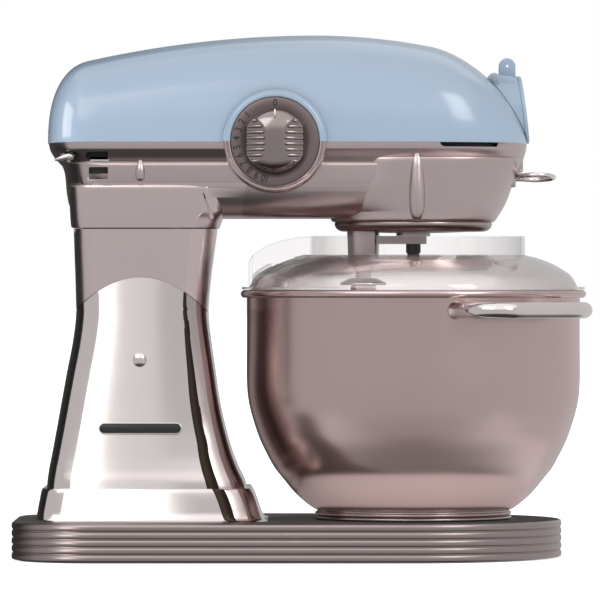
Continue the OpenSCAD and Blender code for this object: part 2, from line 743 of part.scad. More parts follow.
module speed_knob() {
  face = dial_face - 0.5;
  color([0.6, 0.56, 0.56]) {
    difference() {
      intersection() {
        union() {
          along_y(dial_x, dial_z, knob_r, face - knob_depth * 0.62, face);
          translate([dial_x, face - knob_depth * 0.62, dial_z]) rotate([90, 0, 0])
            cylinder(r1 = knob_r, r2 = knob_r - 3.2, h = knob_depth * 0.26);
          translate([dial_x, face - knob_depth * 0.88, dial_z]) rotate([90, 0, 0])
            cylinder(r1 = knob_r - 3.2, r2 = knob_r - 8, h = knob_depth * 0.12);
        }
        span([dial_x - 20.6, -120, dial_z - 30], [dial_x + 20.6, 0, dial_z + 30]);
      }
      for (s = [-1, 1]) along_y(dial_x + s * 30, dial_z, 23, face - knob_depth - 1, face - 5);
      span([dial_x - 0.9, face - knob_depth - 1, dial_z + 14], [dial_x + 0.9, face - 4, dial_z + 26]);
    }
    for (s = [-1, 1]) for (k = [-3.5 : 1 : 3.5]) intersection() {
      span([dial_x + (s > 0 ? 4 : -19.5), face - knob_depth * 0.7, dial_z + 4 * k - 1],
        [dial_x + (s > 0 ? 19.5 : -4), face - 3, dial_z + 4 * k + 1]);
      along_y(dial_x, dial_z, knob_r - 1.2, -120, 0);
    }
    along_y(dial_x, dial_z, 3.9, face - 4, face + 6.5);
  }
}

// ---- nose ----

module outlet_collar() {
  color([0.75, 0.75, 0.76]) difference() {
    along_x(outlet_z, 16, 52.2, 71.4);
    along_x(outlet_z, 12.4, 40, 80);
  }
}

module flap_pin() {
  color([0.75, 0.75, 0.76]) along_y(flap_pin_x, flap_pin_z, 1.5, -18.4, 18.4);
}

module outlet_flap() {
  color([0.68, 0.76, 0.83]) difference() {
    union() {
      difference() {
        along_x(flap_z, flap_r, flap_pin_x - 4.2, 90);
        translate([83.5, -60, 280]) rotate([0, -7.4, 0]) translate([0, 0, -10]) cube([30, 120, 90]);
        along_x(outlet_z, 19, 40, 73);
      }
      along_y(flap_pin_x, flap_pin_z, 4.4, -14, 14);
      span([flap_pin_x, -12, flap_pin_z - 2], [flap_pin_x + 12, 12, flap_pin_z + 2.3]);
      span([60.3, -3.4, 334], [72.1, 3.4, 346.6]);
      along_y(66.2, 346.6, 5.9, -3.4, 3.4);
    }
    difference() {
      translate([0.5, 0, 0]) cover_grown();
      along_y(flap_pin_x, flap_pin_z, 4.4, -14, 14);
    }
    for (s = [-1, 1]) along_y(flap_pin_x, flap_pin_z, 5, s > 0 ? 14 : -30, s > 0 ? 30 : -14);
    along_y(66.4, 346.6, 1, -10, 10);
    along_y(flap_pin_x, flap_pin_z, 1.5 + fit, -20, 20);
  }
}

// The front of the cover, slightly larger, that the flap closes against.
module cover_grown() {
  loft([for (i = [1 : 11])
    let (x = 12 + (head_front - 12) * sin(87 * i / 11), w = breadth(x) + 0.5, h = rise(x) + 0.5)
    concat([[x, w, 280]],
      [for (k = [0 : 24]) let (a = 180 * k / 24) [x, w * se(cos(a), 2.6), part_z + h * se(sin(a), 2.6)]],
      [[x, -w, 280]])]);
}

module ring_pull() {
  color([0.82, 0.81, 0.81]) {
    translate([ring_x, 0, ring_z]) rotate_extrude() translate([ring_r - ring_wire / 2, 0])
      circle(r = ring_wire / 2, $fn = round_fn);
    along_x(ring_z, 3, 42, ring_x - ring_r + ring_wire / 2);
    along_x(ring_z, 5, 42, 44);
  }
}

module plunger_spring() {
  color([0.7, 0.7, 0.7]) translate([44.2, 0, ring_z]) rotate([0, 90, 0]) coil(4.2, 0.45, 6, 14);
}

// ---- motor ----

module motor_stator() {
  color([0.35, 0.36, 0.38]) difference() {
    along_x(motor_z, stator_r, stator_rear, stator_rear + stator_length);
    along_x(motor_z, 19, stator_rear - 1, stator_rear + stator_length + 1);
    translate([stator_rear - 1, 0, motor_z]) rotate([0, 90, 0]) difference() {
      cylinder(r = 28, h = stator_length + 2);
      translate([0, 0, -1]) cylinder(r = 21, h = stator_length + 4);
      for (a = [0, 180]) rotate([0, 0, a]) translate([-17, 0, -1]) cube([34, 40, stator_length + 4]);
    }
  }
}

module motor_coils() {
  color([0.72, 0.42, 0.2]) for (x = [stator_rear - 8.5, stator_rear + stator_length]) difference() {
    along_x(motor_z, 28, x, x + 8.5);
    along_x(motor_z, 20.6, x - 1, x + 10);
  }
}

module bracket(x) {
  difference() {
    union() {
      along_x(motor_z, stator_r, x, x + 3.5);
      along_x(motor_z, 12, x, x + 7);
      for (a = [45 : 90 : 315]) translate([x, 35.3 * cos(a), motor_z + 35.3 * sin(a)]) rotate([0, 90, 0])
        cylinder(r = 3.6, h = 3.5);
      span([x, -18, cavity_floor], [x + 3.5, 18, motor_z - 25]);
    }
    along_x(motor_z, 9, x - 1, x + 10);
    for (a = [0 : 60 : 300]) translate([x - 1, 21 * cos(a), motor_z + 21 * sin(a)]) rotate([0, 90, 0])
      cylinder(r = 6, h = 5.5);
  }
}

module motor_frame() {
  x0 = stator_rear - 14;
  x1 = stator_rear + stator_length + 27;
  color([0.6, 0.6, 0.62]) {
    bracket(x0);
    bracket(x1);
    for (a = [45 : 90 : 315]) translate([x0 + 3.4, 35.3 * cos(a), motor_z + 35.3 * sin(a)]) rotate([0, 90, 0])
      cylinder(r = 2.2, h = x1 - x0 - 3.3);
  }
}

module motor_bearings() {
  color([0.8, 0.8, 0.82]) for (x = [stator_rear - 14, stator_rear + stator_length + 27]) difference() {
    along_x(motor_z, 9, x, x + 7);
    along_x(motor_z, 4 + fit, x - 1, x + 8);
  }
}

module brush_holders() {
  x = stator_rear + stator_length + 16;
  color([0.75, 0.62, 0.3]) for (s = [-1, 1]) {
    span([x - 3.5, s > 0 ? 13.4 : -31, motor_z - 5], [x + 3.5, s > 0 ? 31 : -13.4, motor_z + 5]);
    span([x - 2, s > 0 ? 11.4 : -14, motor_z - 3], [x + 2, s > 0 ? 14 : -11.4, motor_z + 3]);
    span([x - 3.5, s > 0 ? 28 : -33, motor_z - 5], [x + 11, s > 0 ? 33 : -28, motor_z + 5]);
  }
}

module rotor_core() {
  color([0.4, 0.4, 0.42]) difference() {
    along_x(motor_z, 18.4, stator_rear, stator_rear + stator_length);
    along_x(motor_z, 4, stator_rear - 1, stator_rear + stator_length + 1);
    for (a = [0 : 30 : 330]) translate([stator_rear - 1, 16.4 * cos(a), motor_z + 16.4 * sin(a)])
      rotate([a + 90, 0, 0]) translate([0, -1, -3]) cube([stator_length + 2, 2, 6]);
  }
}

module rotor_shaft() {
  color([0.75, 0.75, 0.77]) {
    along_x(motor_z, 4, stator_rear - 27, gear_x + gear_width + 2);
    for (x = [stator_rear - 6, stator_rear + stator_length]) along_x(motor_z, 13, x, x + 6);
  }
}

module commutator() {
  x = stator_rear + stator_length + 9;
  color([0.75, 0.45, 0.25]) difference() {
    along_x(motor_z, 11, x, x + 14);
    along_x(motor_z, 4, x - 1, x + 16);
    for (a = [0 : 15 : 345]) translate([x + 2, 0, motor_z]) rotate([a, 0, 0])
      translate([0, -0.3, 10]) cube([13, 0.6, 3]);
  }
}

module cooling_fan() {
  x = stator_rear - 26;
  color([0.15, 0.15, 0.16]) difference() {
    union() {
      along_x(motor_z, 29, x, x + 1.6);
      along_x(motor_z, 9, x, x + 9);
      for (a = [0 : 30 : 330]) translate([x + 1, 0, motor_z]) rotate([a, 0, 0])
        translate([0, -0.8, 7]) cube([8, 1.6, 21.6]);
    }
    along_x(motor_z, 4, x - 1, x + 12);
  }
}

module motor_pinion() {
  color([0.7, 0.62, 0.35]) translate([gear_x, 0, motor_z]) rotate([0, 90, 0]) difference() {
    linear_extrude(gear_width) gear_outline(gear_module, motor_teeth, 0.8, 1.1, 0.35);
    translate([0, 0, -1]) cylinder(r = 4, h = gear_width + 2);
  }
}

// ---- horizontal output shaft ----

socket_x = 56;

module output_shaft() {
  color([0.75, 0.75, 0.77]) difference() {
    union() {
      along_x(outlet_z, output_r, gear_x - 6, socket_x + 1);
      along_x(outlet_z, 11.2, socket_x, 70.4);
    }
    translate([socket_x + 3, 0, outlet_z]) rotate([45, 0, 0]) translate([0, -5, -5]) cube([20, 10, 10]);
  }
}

module output_gear() {
  color([0.85, 0.83, 0.75]) translate([gear_x, 0, outlet_z]) rotate([0, 90, 0]) difference() {
    union() {
      difference() {
        rotate([0, 0, 180 / output_teeth]) linear_extrude(gear_width)
          gear_outline(gear_module, output_teeth, 0.8, 1.1, 0.35);
        translate([0, 0, 3]) tube_cut(24, 11, gear_width);
      }
      translate([0, 0, gear_width - e]) cylinder(r = 9, h = 5);
    }
    translate([0, 0, -1]) cylinder(r = output_r, h = gear_width + 10);
  }
}

module tube_cut(r_out, r_in, h) {
  difference() {
    cylinder(r = r_out, h = h);
    translate([0, 0, -1]) cylinder(r = r_in, h = h + 2);
  }
}

module crown_pinion() {
  color([0.7, 0.62, 0.35]) translate([-crown_r - 3, 0, outlet_z]) rotate([0, 90, 0]) difference() {
    union() {
      linear_extrude(6) gear_outline(crown_module, crown_pinion_teeth, 0.9, 1.35, 0.62);
      translate([0, 0, -4]) cylinder(r = 8, h = 4 + e);
    }
    translate([0, 0, -6]) cylinder(r = output_r, h = 20);
  }
}

module output_bearings() {
  color([0.8, 0.8, 0.82]) for (x = [-62, 44]) difference() {
    along_x(outlet_z, 11, x, x + 7);
    along_x(outlet_z, output_r + fit, x - 1, x + 8);
  }
}

// ---- hub ----

frame_floor = 246;

module gearbox_frame() {
  color([0.58, 0.58, 0.6]) difference() {
    union() {
      translate([0, 0, frame_floor]) cylinder(r = 54.4, h = 4);
      translate([0, 0, frame_floor]) cylinder(r = 21, h = 38);
      for (x = [-63, 43]) difference() {
        union() {
          span([x, -13, frame_floor], [x + 9, 13, outlet_z]);
          along_x(outlet_z, 15, x, x + 9);
        }
      }
      span([-78, -16, frame_floor], [-20, 16, frame_floor + 4]);
      for (x = [-78]) span([x, -16, cavity_floor], [x + 12, 16, frame_floor + 1]);
    }
    for (x = [-62, 44]) along_x(outlet_z, 11, x, x + 7);
    along_x(outlet_z, 8, -70, 60);
    along_x(ring_z, 7, 40, 60);
    for (z = [frame_floor, frame_floor + 28]) translate([0, 0, z - e]) cylinder(r = 16, h = 10 + 2 * e);
    translate([0, 0, frame_floor - 1]) cylinder(r = 10, h = 50);
    for (a = [30 : 60 : 330]) rotate([0, 0, a]) translate([38, 0, frame_floor - 1]) cylinder(r = 7, h = 6);
  }
}

module hub_bearings() {
  color([0.8, 0.8, 0.82]) for (z = [frame_floor, frame_floor + 28]) tube(16, main_r + fit, z, z + 10);
}

module ring_gear() {
  color([0.62, 0.6, 0.58]) translate([0, 0, housing_bottom + 2]) difference() {
    cylinder(r = 54.4, h = frame_floor - housing_bottom - 2);
    translate([0, 0, -1]) linear_extrude(12) rotate([0, 0, 180 / ring_teeth])
      gear_outline(planet_module, ring_teeth, 1.9, 1.1, -0.55);
  }
}

module drip_ring() {
  color([0.72, 0.69, 0.68]) rotate_extrude() polygon([[47, 231], [50, 229.8], [54, 232.2], [drip_r, 234.5],
    [drip_r, housing_bottom], [47, housing_bottom]]);
}

module main_shaft() {
  color([0.75, 0.75, 0.77]) translate([0, 0, 230]) cylinder(r = main_r, h = 68);
}

module crown_gear() {
  base_z = outlet_z - crown_pinion_teeth * crown_module / 2 - 1.3;
  color([0.85, 0.83, 0.75]) difference() {
    union() {
      tube(crown_r + 6, main_r, base_z - 7, base_z);
      tube(13, main_r, base_z - 15, base_z - 6);
      for (i = [0 : crown_teeth - 1]) rotate([0, 0, 360 / crown_teeth * (i + 0.5)])
        translate([crown_r - 4, 0, base_z - e]) rotate([90, 0, 90]) linear_extrude(8)
          polygon([[-1, 0], [1, 0], [0.35, 2.1], [-0.35, 2.1]]);
    }
    translate([0, 0, base_z - 3]) cylinder(r = 11, h = 10);
  }
}

module planet_carrier() {
  color([0.6, 0.56, 0.55]) difference() {
    union() {
      rotate_extrude() polygon([[main_r, 228.7], [20, 228.8], [34, 229.3], [44, 230],
        [46.2, 231.4], [46.2, 237.8], [42, 237.8], [main_r, 237.8]]);
      translate([0, 0, 226.4]) cylinder(r = 12, h = 6);
      difference() {
        span([-30, -8, 221], [9.2, 8, 226.6]);
        translate([-beater_offset, 0, 215]) cylinder(r = 12.1, h = 20);
      }
    }
    translate([-beater_offset, 0, 220]) cylinder(r = 5 + fit, h = 30);
    translate([0, 0, 230]) cylinder(r = main_r, h = 10);
    translate([-beater_offset, 0, 220]) cylinder(r = 12.2, h = 11.6);
  }
}

module centre_tip() {
  color([0.08, 0.08, 0.08]) {
    translate([0, 0, 209.5]) cylinder(r = 4.3, h = 11.5);
    for (a = [0 : 45 : 315]) rotate([0, 0, a]) translate([3.6, -0.9, 214.6]) cube([1.55, 1.8, 6.4]);
    translate([0, 0, 204.7]) cylinder(r1 = 1.8, r2 = 4.3, h = 4.9);
  }
}

module planet_pinion() {
  color([0.7, 0.62, 0.35]) translate([-beater_offset, 0, 239.4]) difference() {
    linear_extrude(5.4) gear_outline(planet_module, planet_teeth, 1.2, 1.7, 0.5);
    translate([0, 0, -1]) cylinder(r = 5, h = 10);
  }
}

module beater_spindle() {
  color([0.72, 0.69, 0.68]) translate([-beater_offset, 0, 0]) {
    translate([0, 0, 230]) cylinder(r = 5, h = 15);
    translate([0, 0, 206]) cylinder(r1 = 10.6, r2 = 11.5, h = 24.6);
    translate([0, 0, 202]) cylinder(r = 7.5, h = 4 + e);
    translate([0, 0, 196]) cylinder(r = 5.5, h = 6 + e);
    along_y(0, 199.5, 1.4, -8, 8);
  }
}

// ---- tool ----

module tool_shield() {
  color([0.78, 0.76, 0.76]) translate([-beater_offset, 0, 0]) rotate_extrude()
    polygon([[5.6, 192], [16.3, 192], [16.3, 193.6], [9, 197], [5.6, 197]]);
}

// Centre line of the hook: a shank that swings out into an open spiral.
hook_steps = 44;
function hook_point(t) = let (a = 250 * t, r = 27 * sin(180 * pow(t, 0.8)) + 6 * t)
  [r * cos(a) , r * sin(a) * 0.75, 176 - 132 * t + 7 * pow(t, 6)];
function frame_at(t) = let (
  d = 0.004, a = hook_point(max(0, t - d)), b = hook_point(min(1, t + d)), v = (b - a) / norm(b - a),
  s = cross(v, [0, 1, 0]) / norm(cross(v, [0, 1, 0]))) [s, cross(v, s)];

module dough_hook() {
  color([0.72, 0.7, 0.7]) translate([-beater_offset, 0, 0]) {
    translate([0, 0, 176]) cylinder(r = 5.6, h = 20);
    translate([0, 0, 187]) cylinder(r = 9, h = 5);
    loft([for (i = [0 : hook_steps])
      let (t = i / hook_steps, f = frame_at(t), p = hook_point(t), w = 5.4 - 1.4 * t)
      [for (k = [0 : 11]) p + w * cos(30 * k) * f[0] + w * sin(30 * k) * f[1]]]);
  }
}

// ---- bowl ----

bowl_rows = [[66, 33.5], [69.5, 34.2], [72.4, 35.9], [77.5, 39.9], [82.2, 44.2], [86.1, 48.3], [90, 53.2],
  [97.8, 63], [103.4, 73], [108.4, 83.5], [111.9, 93.5], [115.1, 104.5], [116.8, 114], [117.5, 124]];

module bowl() {
  color([0.62, 0.56, 0.55]) rotate_extrude() {
    polygon(concat([[0, bowl_floor]], bowl_rows, [[bowl_r, 185], [bowl_r - bowl_wall, 185]],
      [for (i = [len(bowl_rows) - 1 : -1 : 1]) bowl_rows[i] + bowl_wall * [-1, 0.4]],
      [[65.4, bowl_floor + bowl_wall], [0, bowl_floor + bowl_wall]]));
    difference() {
      translate([rim_r - 2.75, bowl_top - 2.75]) circle(r = 2.75, $fn = round_fn);
      translate([rim_r - 2.75, bowl_top - 2.75]) circle(r = 2.75 - bowl_wall, $fn = round_fn);
    }
    translate([bowl_r - bowl_wall, bowl_top - 4.4]) square([bowl_wall, 2]);
  }
}

module bowl_foot() {
  color([0.66, 0.62, 0.61]) {
    rotate_extrude() polygon([[64.5, base_top + 0.2], [68.6, base_top + 0.2], [bowl_foot_r, base_top + 1.2],
      [bowl_foot_r, base_top + 2.8], [67.6, base_top + 3.4], [bowl_foot_r, base_top + 4.2],
      [bowl_foot_r, base_top + 5.6], [68, bowl_floor], [64.5, bowl_floor]]);
    for (a = [32, 152, 272]) rotate([0, 0, a]) translate([0, 0, base_top + 0.2])
      rotate_extrude(angle = 18) translate([54.5, 0]) square([11, 2.2]);
  }
}

// One sweep of the handle's tube along an arc or a straight.
module handle_tube(r) {
  corner = 20;
  reach = handle_reach;
  translate([0, -reach, handle_z]) rotate([0, 90, 0])
    cylinder(r = r, h = 2 * (handle_half - corner), center = true);
  for (s = [-1, 1]) {
    translate([s * (handle_half - corner), -reach + corner, handle_z]) rotate([0, 0, s > 0 ? -90 : 180])
      rotate_extrude(angle = 90) translate([corner, 0]) circle(r = r, $fn = round_fn);
    translate([s * handle_half, -reach + corner, handle_z]) rotate([-90, 0, 0])
      cylinder(r = r, h = reach - corner - sqrt(pow(bowl_r + 1.6, 2) - pow(handle_half, 2)));
  }
}

module bowl_handle() {
  color([0.8, 0.77, 0.76]) rotate([0, 0, handle_turn]) {
    handle_tube(handle_r);
    for (s = [-1, 1]) rotate([0, 0, s * 23]) difference() {
      along_y(0, handle_z, 7, -bowl_r - 2.4, -bowl_r + 4);
      translate([0, 0, handle_z - 20]) cylinder(r = bowl_r, h = 40);
    }
  }
}

// ---- splash guard ----

guard_rows = [[116.4, 188.9], [115.9, 190.6], [111, 198.7], [104, 203.6], [96.5, 207.6], [87.5, 210.9],
  [78.7, 213]];

module guard_skin() {
  t = guard_wall;
  rotate_extrude() polygon(concat([[113.6, 186], [115.6, 186], [115.6, 188.9], [121, 188.9], [121, 190.6]],
    [for (i = [1 : len(guard_rows) - 1]) guard_rows[i]],
    [[collar_r, collar_top], [collar_r - t, collar_top]],
    [for (i = [len(guard_rows) - 1 : -1 : 2]) [guard_rows[i][0] - t * 0.6, guard_rows[i][1] - t * 0.9]],
    [[113.6, 189.6]]));
}

// Side outline of the pouring chute, shrunk by t.
module chute_side(t) {
  polygon([[-74, 212 + t], [-88, 209 + t], [-104, 202.4 + t], [chute_lip + t, 197 + t], [chute_lip + t, 209.7],
    [-101, 220.6], [-82, 225.5], [-58.8, collar_top], [-58.8, 212 + t]]);
}

module chute_block(t) {
  translate([0, chute_half - t, 0]) rotate([90, 0, 0]) linear_extrude(2 * (chute_half - t)) chute_side(t);
}

module splash_guard() {
  color([0.85, 0.9, 0.92, 0.4]) difference() {
    union() {
      guard_skin();
      difference() {
        chute_block(0);
        translate([0, 0, 200]) cylinder(r = collar_r - 1, h = 40);
        rotate_extrude() polygon(concat([[0, 180], [112, 180]],
          [for (i = [1 : len(guard_rows) - 1]) [guard_rows[i][0] - 1, guard_rows[i][1] - 1]], [[0, 212]]));
      }
    }
    difference() {
      chute_block(guard_wall);
      rotate_extrude() polygon([[79, 190], [130, 190], [130, 203], [79, 216]]);
    }
    span([-100, -chute_half + 6, 195], [-84, chute_half - 6, 225]);
    translate([0, 0, 1]) span([-104, -chute_half + guard_wall, 206], [-60, chute_half - guard_wall, 240]);
  }
}

base_casting();
bottom_cover();
foot_ring();
bottom_screws();
column_bolts();
bowl_seat();
cord_gland();
column();
column_panel();
column_plinth();
nameplate();
column_button();
button_spring();
control_board();
hinge_pin();
release_lever();
latch_link();
latch_hook();
head_cover();
head_shell();
dial_plate();
speed_switch();
speed_knob();
outlet_collar();
flap_pin();
outlet_flap();
ring_pull();
plunger_spring();
motor_stator();
motor_coils();
motor_frame();
motor_bearings();
brush_holders();
rotor_core();
rotor_shaft();
commutator();
cooling_fan();
motor_pinion();
output_shaft();
output_gear();
crown_pinion();
output_bearings();
gearbox_frame();
hub_bearings();
ring_gear();
drip_ring();
main_shaft();
crown_gear();
planet_carrier();
centre_tip();
planet_pinion();
beater_spindle();
tool_shield();
dough_hook();
bowl();
bowl_foot();
bowl_handle();
splash_guard();
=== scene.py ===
import json
from math import copysign, cos, dist, pi, radians, sin, sqrt, tan

import bmesh
import bpy
from mathutils import Matrix, Vector


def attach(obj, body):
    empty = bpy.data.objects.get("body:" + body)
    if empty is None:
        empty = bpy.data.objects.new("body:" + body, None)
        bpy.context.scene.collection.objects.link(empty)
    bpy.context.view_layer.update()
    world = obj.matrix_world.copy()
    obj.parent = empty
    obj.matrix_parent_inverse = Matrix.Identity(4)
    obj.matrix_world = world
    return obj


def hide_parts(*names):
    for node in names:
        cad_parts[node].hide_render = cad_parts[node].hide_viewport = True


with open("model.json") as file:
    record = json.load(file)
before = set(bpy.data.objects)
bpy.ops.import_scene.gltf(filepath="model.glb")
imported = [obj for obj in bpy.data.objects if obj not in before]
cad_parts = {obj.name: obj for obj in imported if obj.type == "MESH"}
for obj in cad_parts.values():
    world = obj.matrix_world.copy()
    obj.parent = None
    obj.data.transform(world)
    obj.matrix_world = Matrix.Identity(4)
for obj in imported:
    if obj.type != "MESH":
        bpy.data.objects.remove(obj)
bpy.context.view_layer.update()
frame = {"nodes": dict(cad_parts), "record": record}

scene = bpy.context.scene
MM = 0.001

# ---- sizes, in millimetres
PART_Z = 291.5              # parting line between the cover and the lower shell
HEAD_REAR, HEAD_FRONT, HEAD_HALF = -257.6, 80.2, 63.0
CROWN_X, CROWN_Z = -69.0, 368.0
DIAL_X, DIAL_Z, DIAL_FACE = -97.4, 292.0, -66.4
DIAL = (DIAL_X, 0, DIAL_Z)
DIAL_R, BEZEL_R, KNOB_R = 31.0, 35.9, 22.0
OUTLET_Z = 313.0
FLAP_Z, FLAP_R = 315.5, 23.9
FLAP_PIN = (56.7, 0, 337.1)
RING_X, RING_Z, RING_R, RING_WIRE = 86.4, 268.0, 14.3, 3.4
PIN, LUG_END = (-236.0, 0, 231.5), 38.0
LEVER = (-240.0, 282.0)
LATCH = (-166.0, 252.0)
ARCH_X, ARCH_TOP, ARCH_CURVE = -191.3, 197.2, 89.8
BUTTON_Z, PLATE_Z = 140.4, 92.0
BASE_REAR, BASE_FRONT, BASE_HALF, BASE_CORNER, BASE_TOP = -281.4, 104.6, 110.0, 60.0, 27.0
RIB_PITCH, RIB_COUNT = 5.24, 5
RIB_SHAPE = [(0.05, 1.0), (0.12, 0.45), (0.25, 0.14), (0.5, 0.0), (0.75, 0.14), (0.88, 0.45), (0.95, 1.0)]
COLUMN_TOP, PANEL_THICK, WALL = 231.2, 2.0, 4.0
BOWL_R, BOWL_TOP, RIM_R, BOWL_WALL = 117.5, 188.5, 121.8, 1.2
HANDLE_Z, HANDLE_R, HANDLE_REACH, HANDLE_HALF, HANDLE_TURN = 174.4, 5.75, 147.0, 45.7, 36.8
COLLAR_R, COLLAR_TOP, CHUTE_HALF, CHUTE_LIP, GUARD_WALL = 78.7, 226.3, 30.0, -116.0, 2.2
BEATER_X = -35.25

# sections by height: rear x, front x and half width
COLUMN_ROWS = [
    (27, -255, -120.4, 61.2), (50, -257, -118, 62.9), (62.8, -255.7, -123.3, 61),
    (72.7, -253.8, -127.3, 59.5), (92.5, -250.2, -133, 57), (112.3, -246.7, -137.2, 55),
    (132, -243.2, -140, 53), (151.8, -239.4, -142.8, 51.5), (171.6, -237, -144.9, 50.6),
    (181.4, -237.1, -144.6, 50.6), (199.8, -237.6, -142.8, 51), (216.7, -238.2, -140.6, 51.6),
    (231.2, -238.6, -138.6, 52)]
PLINTH_ROWS = [
    (27, -266, -102.5, 70), (28.2, -264.9, -105.6, 68.4), (31, -264, -107.2, 67.5),
    (43.8, -261.7, -111.6, 66.2), (48.9, -260.6, -114.0, 65.5), (50, -260, -114.8, 65.1)]
SHELL_ROWS = [
    (239, -226, 40, 28), (239.3, -230, 43, 34), (240.6, -234, 46, 39.6), (243.6, -238.8, 50, 44.6),
    (248, -242.6, 55, 49.2), (254, -244, 58.6, 53), (260, -244.8, 61.6, 55.6), (266, -245.2, 64.2, 57.2),
    (272, -246.2, 67, 57.9), (275.6, -247.6, 69, 58), (276.8, -248.8, 71, 57.6), (277.4, -249.3, 76, 56.4),
    (279, -250.8, 77, 57.1), (281, -252.6, 77.8, 58.1), (283, -254, 78.4, 59.4), (285, -255.2, 79, 60.8),
    (287, -256.1, 79.5, 62.0), (289, -256.6, 79.8, 62.4), (291.5, -257, 80, 62.5)]
HOUSING_ROWS = [
    (236.5, -56.6, 56.6, 56.6), (237.7, -58, 58, 58), (242, -57.4, 60.8, 58.4), (249, -55.6, 64.9, 59.2),
    (262, -51, 69.9, 60.2), (272, -47, 73.9, 60.8), (280, -45, 76.8, 61), (281, -44.6, 76.9, 60.7),
    (281.3, -44.2, 76.5, 60)]
HOLLOW_ROWS = [
    (243.6, -234, 45, 38), (248, -238.6, 51, 44.6), (254, -240, 54.6, 49), (260, -240.8, 57.6, 51.8),
    (266, -241.2, 60.2, 53.4), (275, -242.6, 65, 53.4), (281, -248.6, 73.8, 54.2), (286, -251.4, 75, 57.4),
    (291.6, -253, 76, 58.8)]
# profiles by radius and height
FRONT_RIB = [(0.01, 237.0), (2.8, 238.2), (4.9, 243), (5.9, 256), (5.3, 270), (3.7, 281), (0.01, 287)]
REAR_RIB = [(0.01, 264), (2.4, 265), (3.6, 268), (3.2, 275), (0.01, 281)]
# the neck's sections, as for the column
NECK_ROWS = [
    (232, -240.2, -137.4, 53.4), (234, -240.5, -136.6, 53.8), (239, -240.9, -134.6, 54.6),
    (243, -241.1, -131, 55.2), (254, -241.6, -129, 56.6), (259.6, -241.8, -128, 57.2),
    (261.4, -241.6, -128.6, 56.8), (263, -240.5, -130, 55)]
# depth of the corner crease behind the column's front, and width of its cove, which gets a painted dark
# reflection, by height
CREASES = [
    (27, 18.6, 8.0), (54, 18.3, 8.4), (82, 14.8, 6.8), (111, 13.7, 6.2), (166, 13.4, 3.2), (188, 15.2, 2.0),
    (263, 17.2, 1.2)]
# outlines by radius and height
BOWL_ROWS = [
    (66, 33.5), (69.5, 34.2), (72.4, 35.9), (77.5, 39.9), (82.2, 44.2), (86.1, 48.3), (90, 53.2), (97.8, 63),
    (103.4, 73), (108.4, 83.5), (111.9, 93.5), (115.1, 104.5), (116.8, 114), (117.5, 124)]
GUARD_ROWS = [
    (116.4, 188.9), (115.9, 190.6), (111, 198.7), (104, 203.6), (96.5, 207.6), (87.5, 210.9), (78.7, 213)]


# ---- mesh tools
def new_object(name, data):
    obj = bpy.data.objects.new(name, data)
    scene.collection.objects.link(obj)
    return obj


def build(name, points, faces):
    """A mesh object from points in millimetres."""
    mesh = bpy.data.meshes.new(name)
    mesh.from_pydata([tuple(c * MM for c in p) for p in points], [], faces)
    mesh.update()
    return new_object(name, mesh)


def outward(obj, weld=0.0):
    """Turns the faces outwards, once points closer than weld are joined."""
    bm = bmesh.new()
    bm.from_mesh(obj.data)
    if weld:
        bmesh.ops.remove_doubles(bm, verts=bm.verts, dist=weld)
    bmesh.ops.recalc_face_normals(bm, faces=bm.faces)
    bm.to_mesh(obj.data)
    bm.free()
    return obj


def loft(name, rings):
    """A closed solid through rings of equal length."""
    n = len(rings[0])
    faces = [[j * n + i, j * n + (i + 1) % n, (j + 1) * n + (i + 1) % n, (j + 1) * n + i]
             for j in range(len(rings) - 1) for i in range(n)]
    faces += [list(range(n))[::-1], [(len(rings) - 1) * n + i for i in range(n)]]
    return outward(build(name, [p for r in rings for p in r], faces))


def lathe(name, profile, centre=(0, 0, 0), axis="Z", segments=128, start=0.0, sweep=360.0):
    """A closed profile of (radius, height) turned about an axis; a part sweep gets end faces."""
    full = sweep >= 360
    count = segments if full else segments + 1
    points, faces, rows = [], [], []
    for i in range(count):
        a = radians(start + sweep * i / segments)
        row = []
        for r, h in profile:
            u, v = r * cos(a), r * sin(a)
            p = {"Z": (u, v, h), "Y": (u, h, v), "X": (h, u, v)}[axis]
            row.append(len(points))
            points.append([p[k] + centre[k] for k in range(3)])
        rows.append(row)
    m = len(profile)
    for i in range(segments):
        a, b = rows[i], rows[(i + 1) % count]
        faces += [[a[k], b[k], b[(k + 1) % m], a[(k + 1) % m]] for k in range(m)]
    if not full:
        faces += [rows[0], rows[-1][::-1]]
    return outward(build(name, points, faces), 1e-7)


def sweep_tube(name, path, radii, sides=24):
    """A round bar along a path, with one radius per point."""
    path = [Vector(p) for p in path]
    up, rings = None, []
    for i, p in enumerate(path):
        t = (path[min(i + 1, len(path) - 1)] - path[max(i - 1, 0)]).normalized()
        if up is None:
            up = t.cross(Vector((0.013, 0.02, 1))).normalized()
        up = (up - t * up.dot(t)).normalized()
        side = t.cross(up)
        turns = (2 * pi * k / sides for k in range(sides))
        rings.append([p + (up * cos(a) + side * sin(a)) * radii[i] for a in turns])
    return loft(name, rings)


def prism(name, outline, y0, y1, round_edge=0.0, segments=3):
    """An outline in the XZ plane, from y0 to y1, with rounded edges."""
    n = len(outline)
    points = [(x, y, z) for y in (y0, y1) for x, z in outline]
    faces = [[i, (i + 1) % n, n + (i + 1) % n, n + i] for i in range(n)]
    faces += [list(range(n)), list(range(n, 2 * n))[::-1]]
    obj = outward(build(name, points, faces))
    if round_edge:
        bevel(obj, round_edge, segments)
    return obj


def block(name, a, b, round_edge=0.0, segments=2):
    return prism(name, [(a[0], a[2]), (b[0], a[2]), (b[0], b[2]), (a[0], b[2])], a[1], b[1], round_edge,
                 segments)


def shift(x, y, z):
    return Matrix.Translation((x * MM, y * MM, z * MM))


def turned(axis, degrees):
    return Matrix.Rotation(radians(degrees), 4, axis)


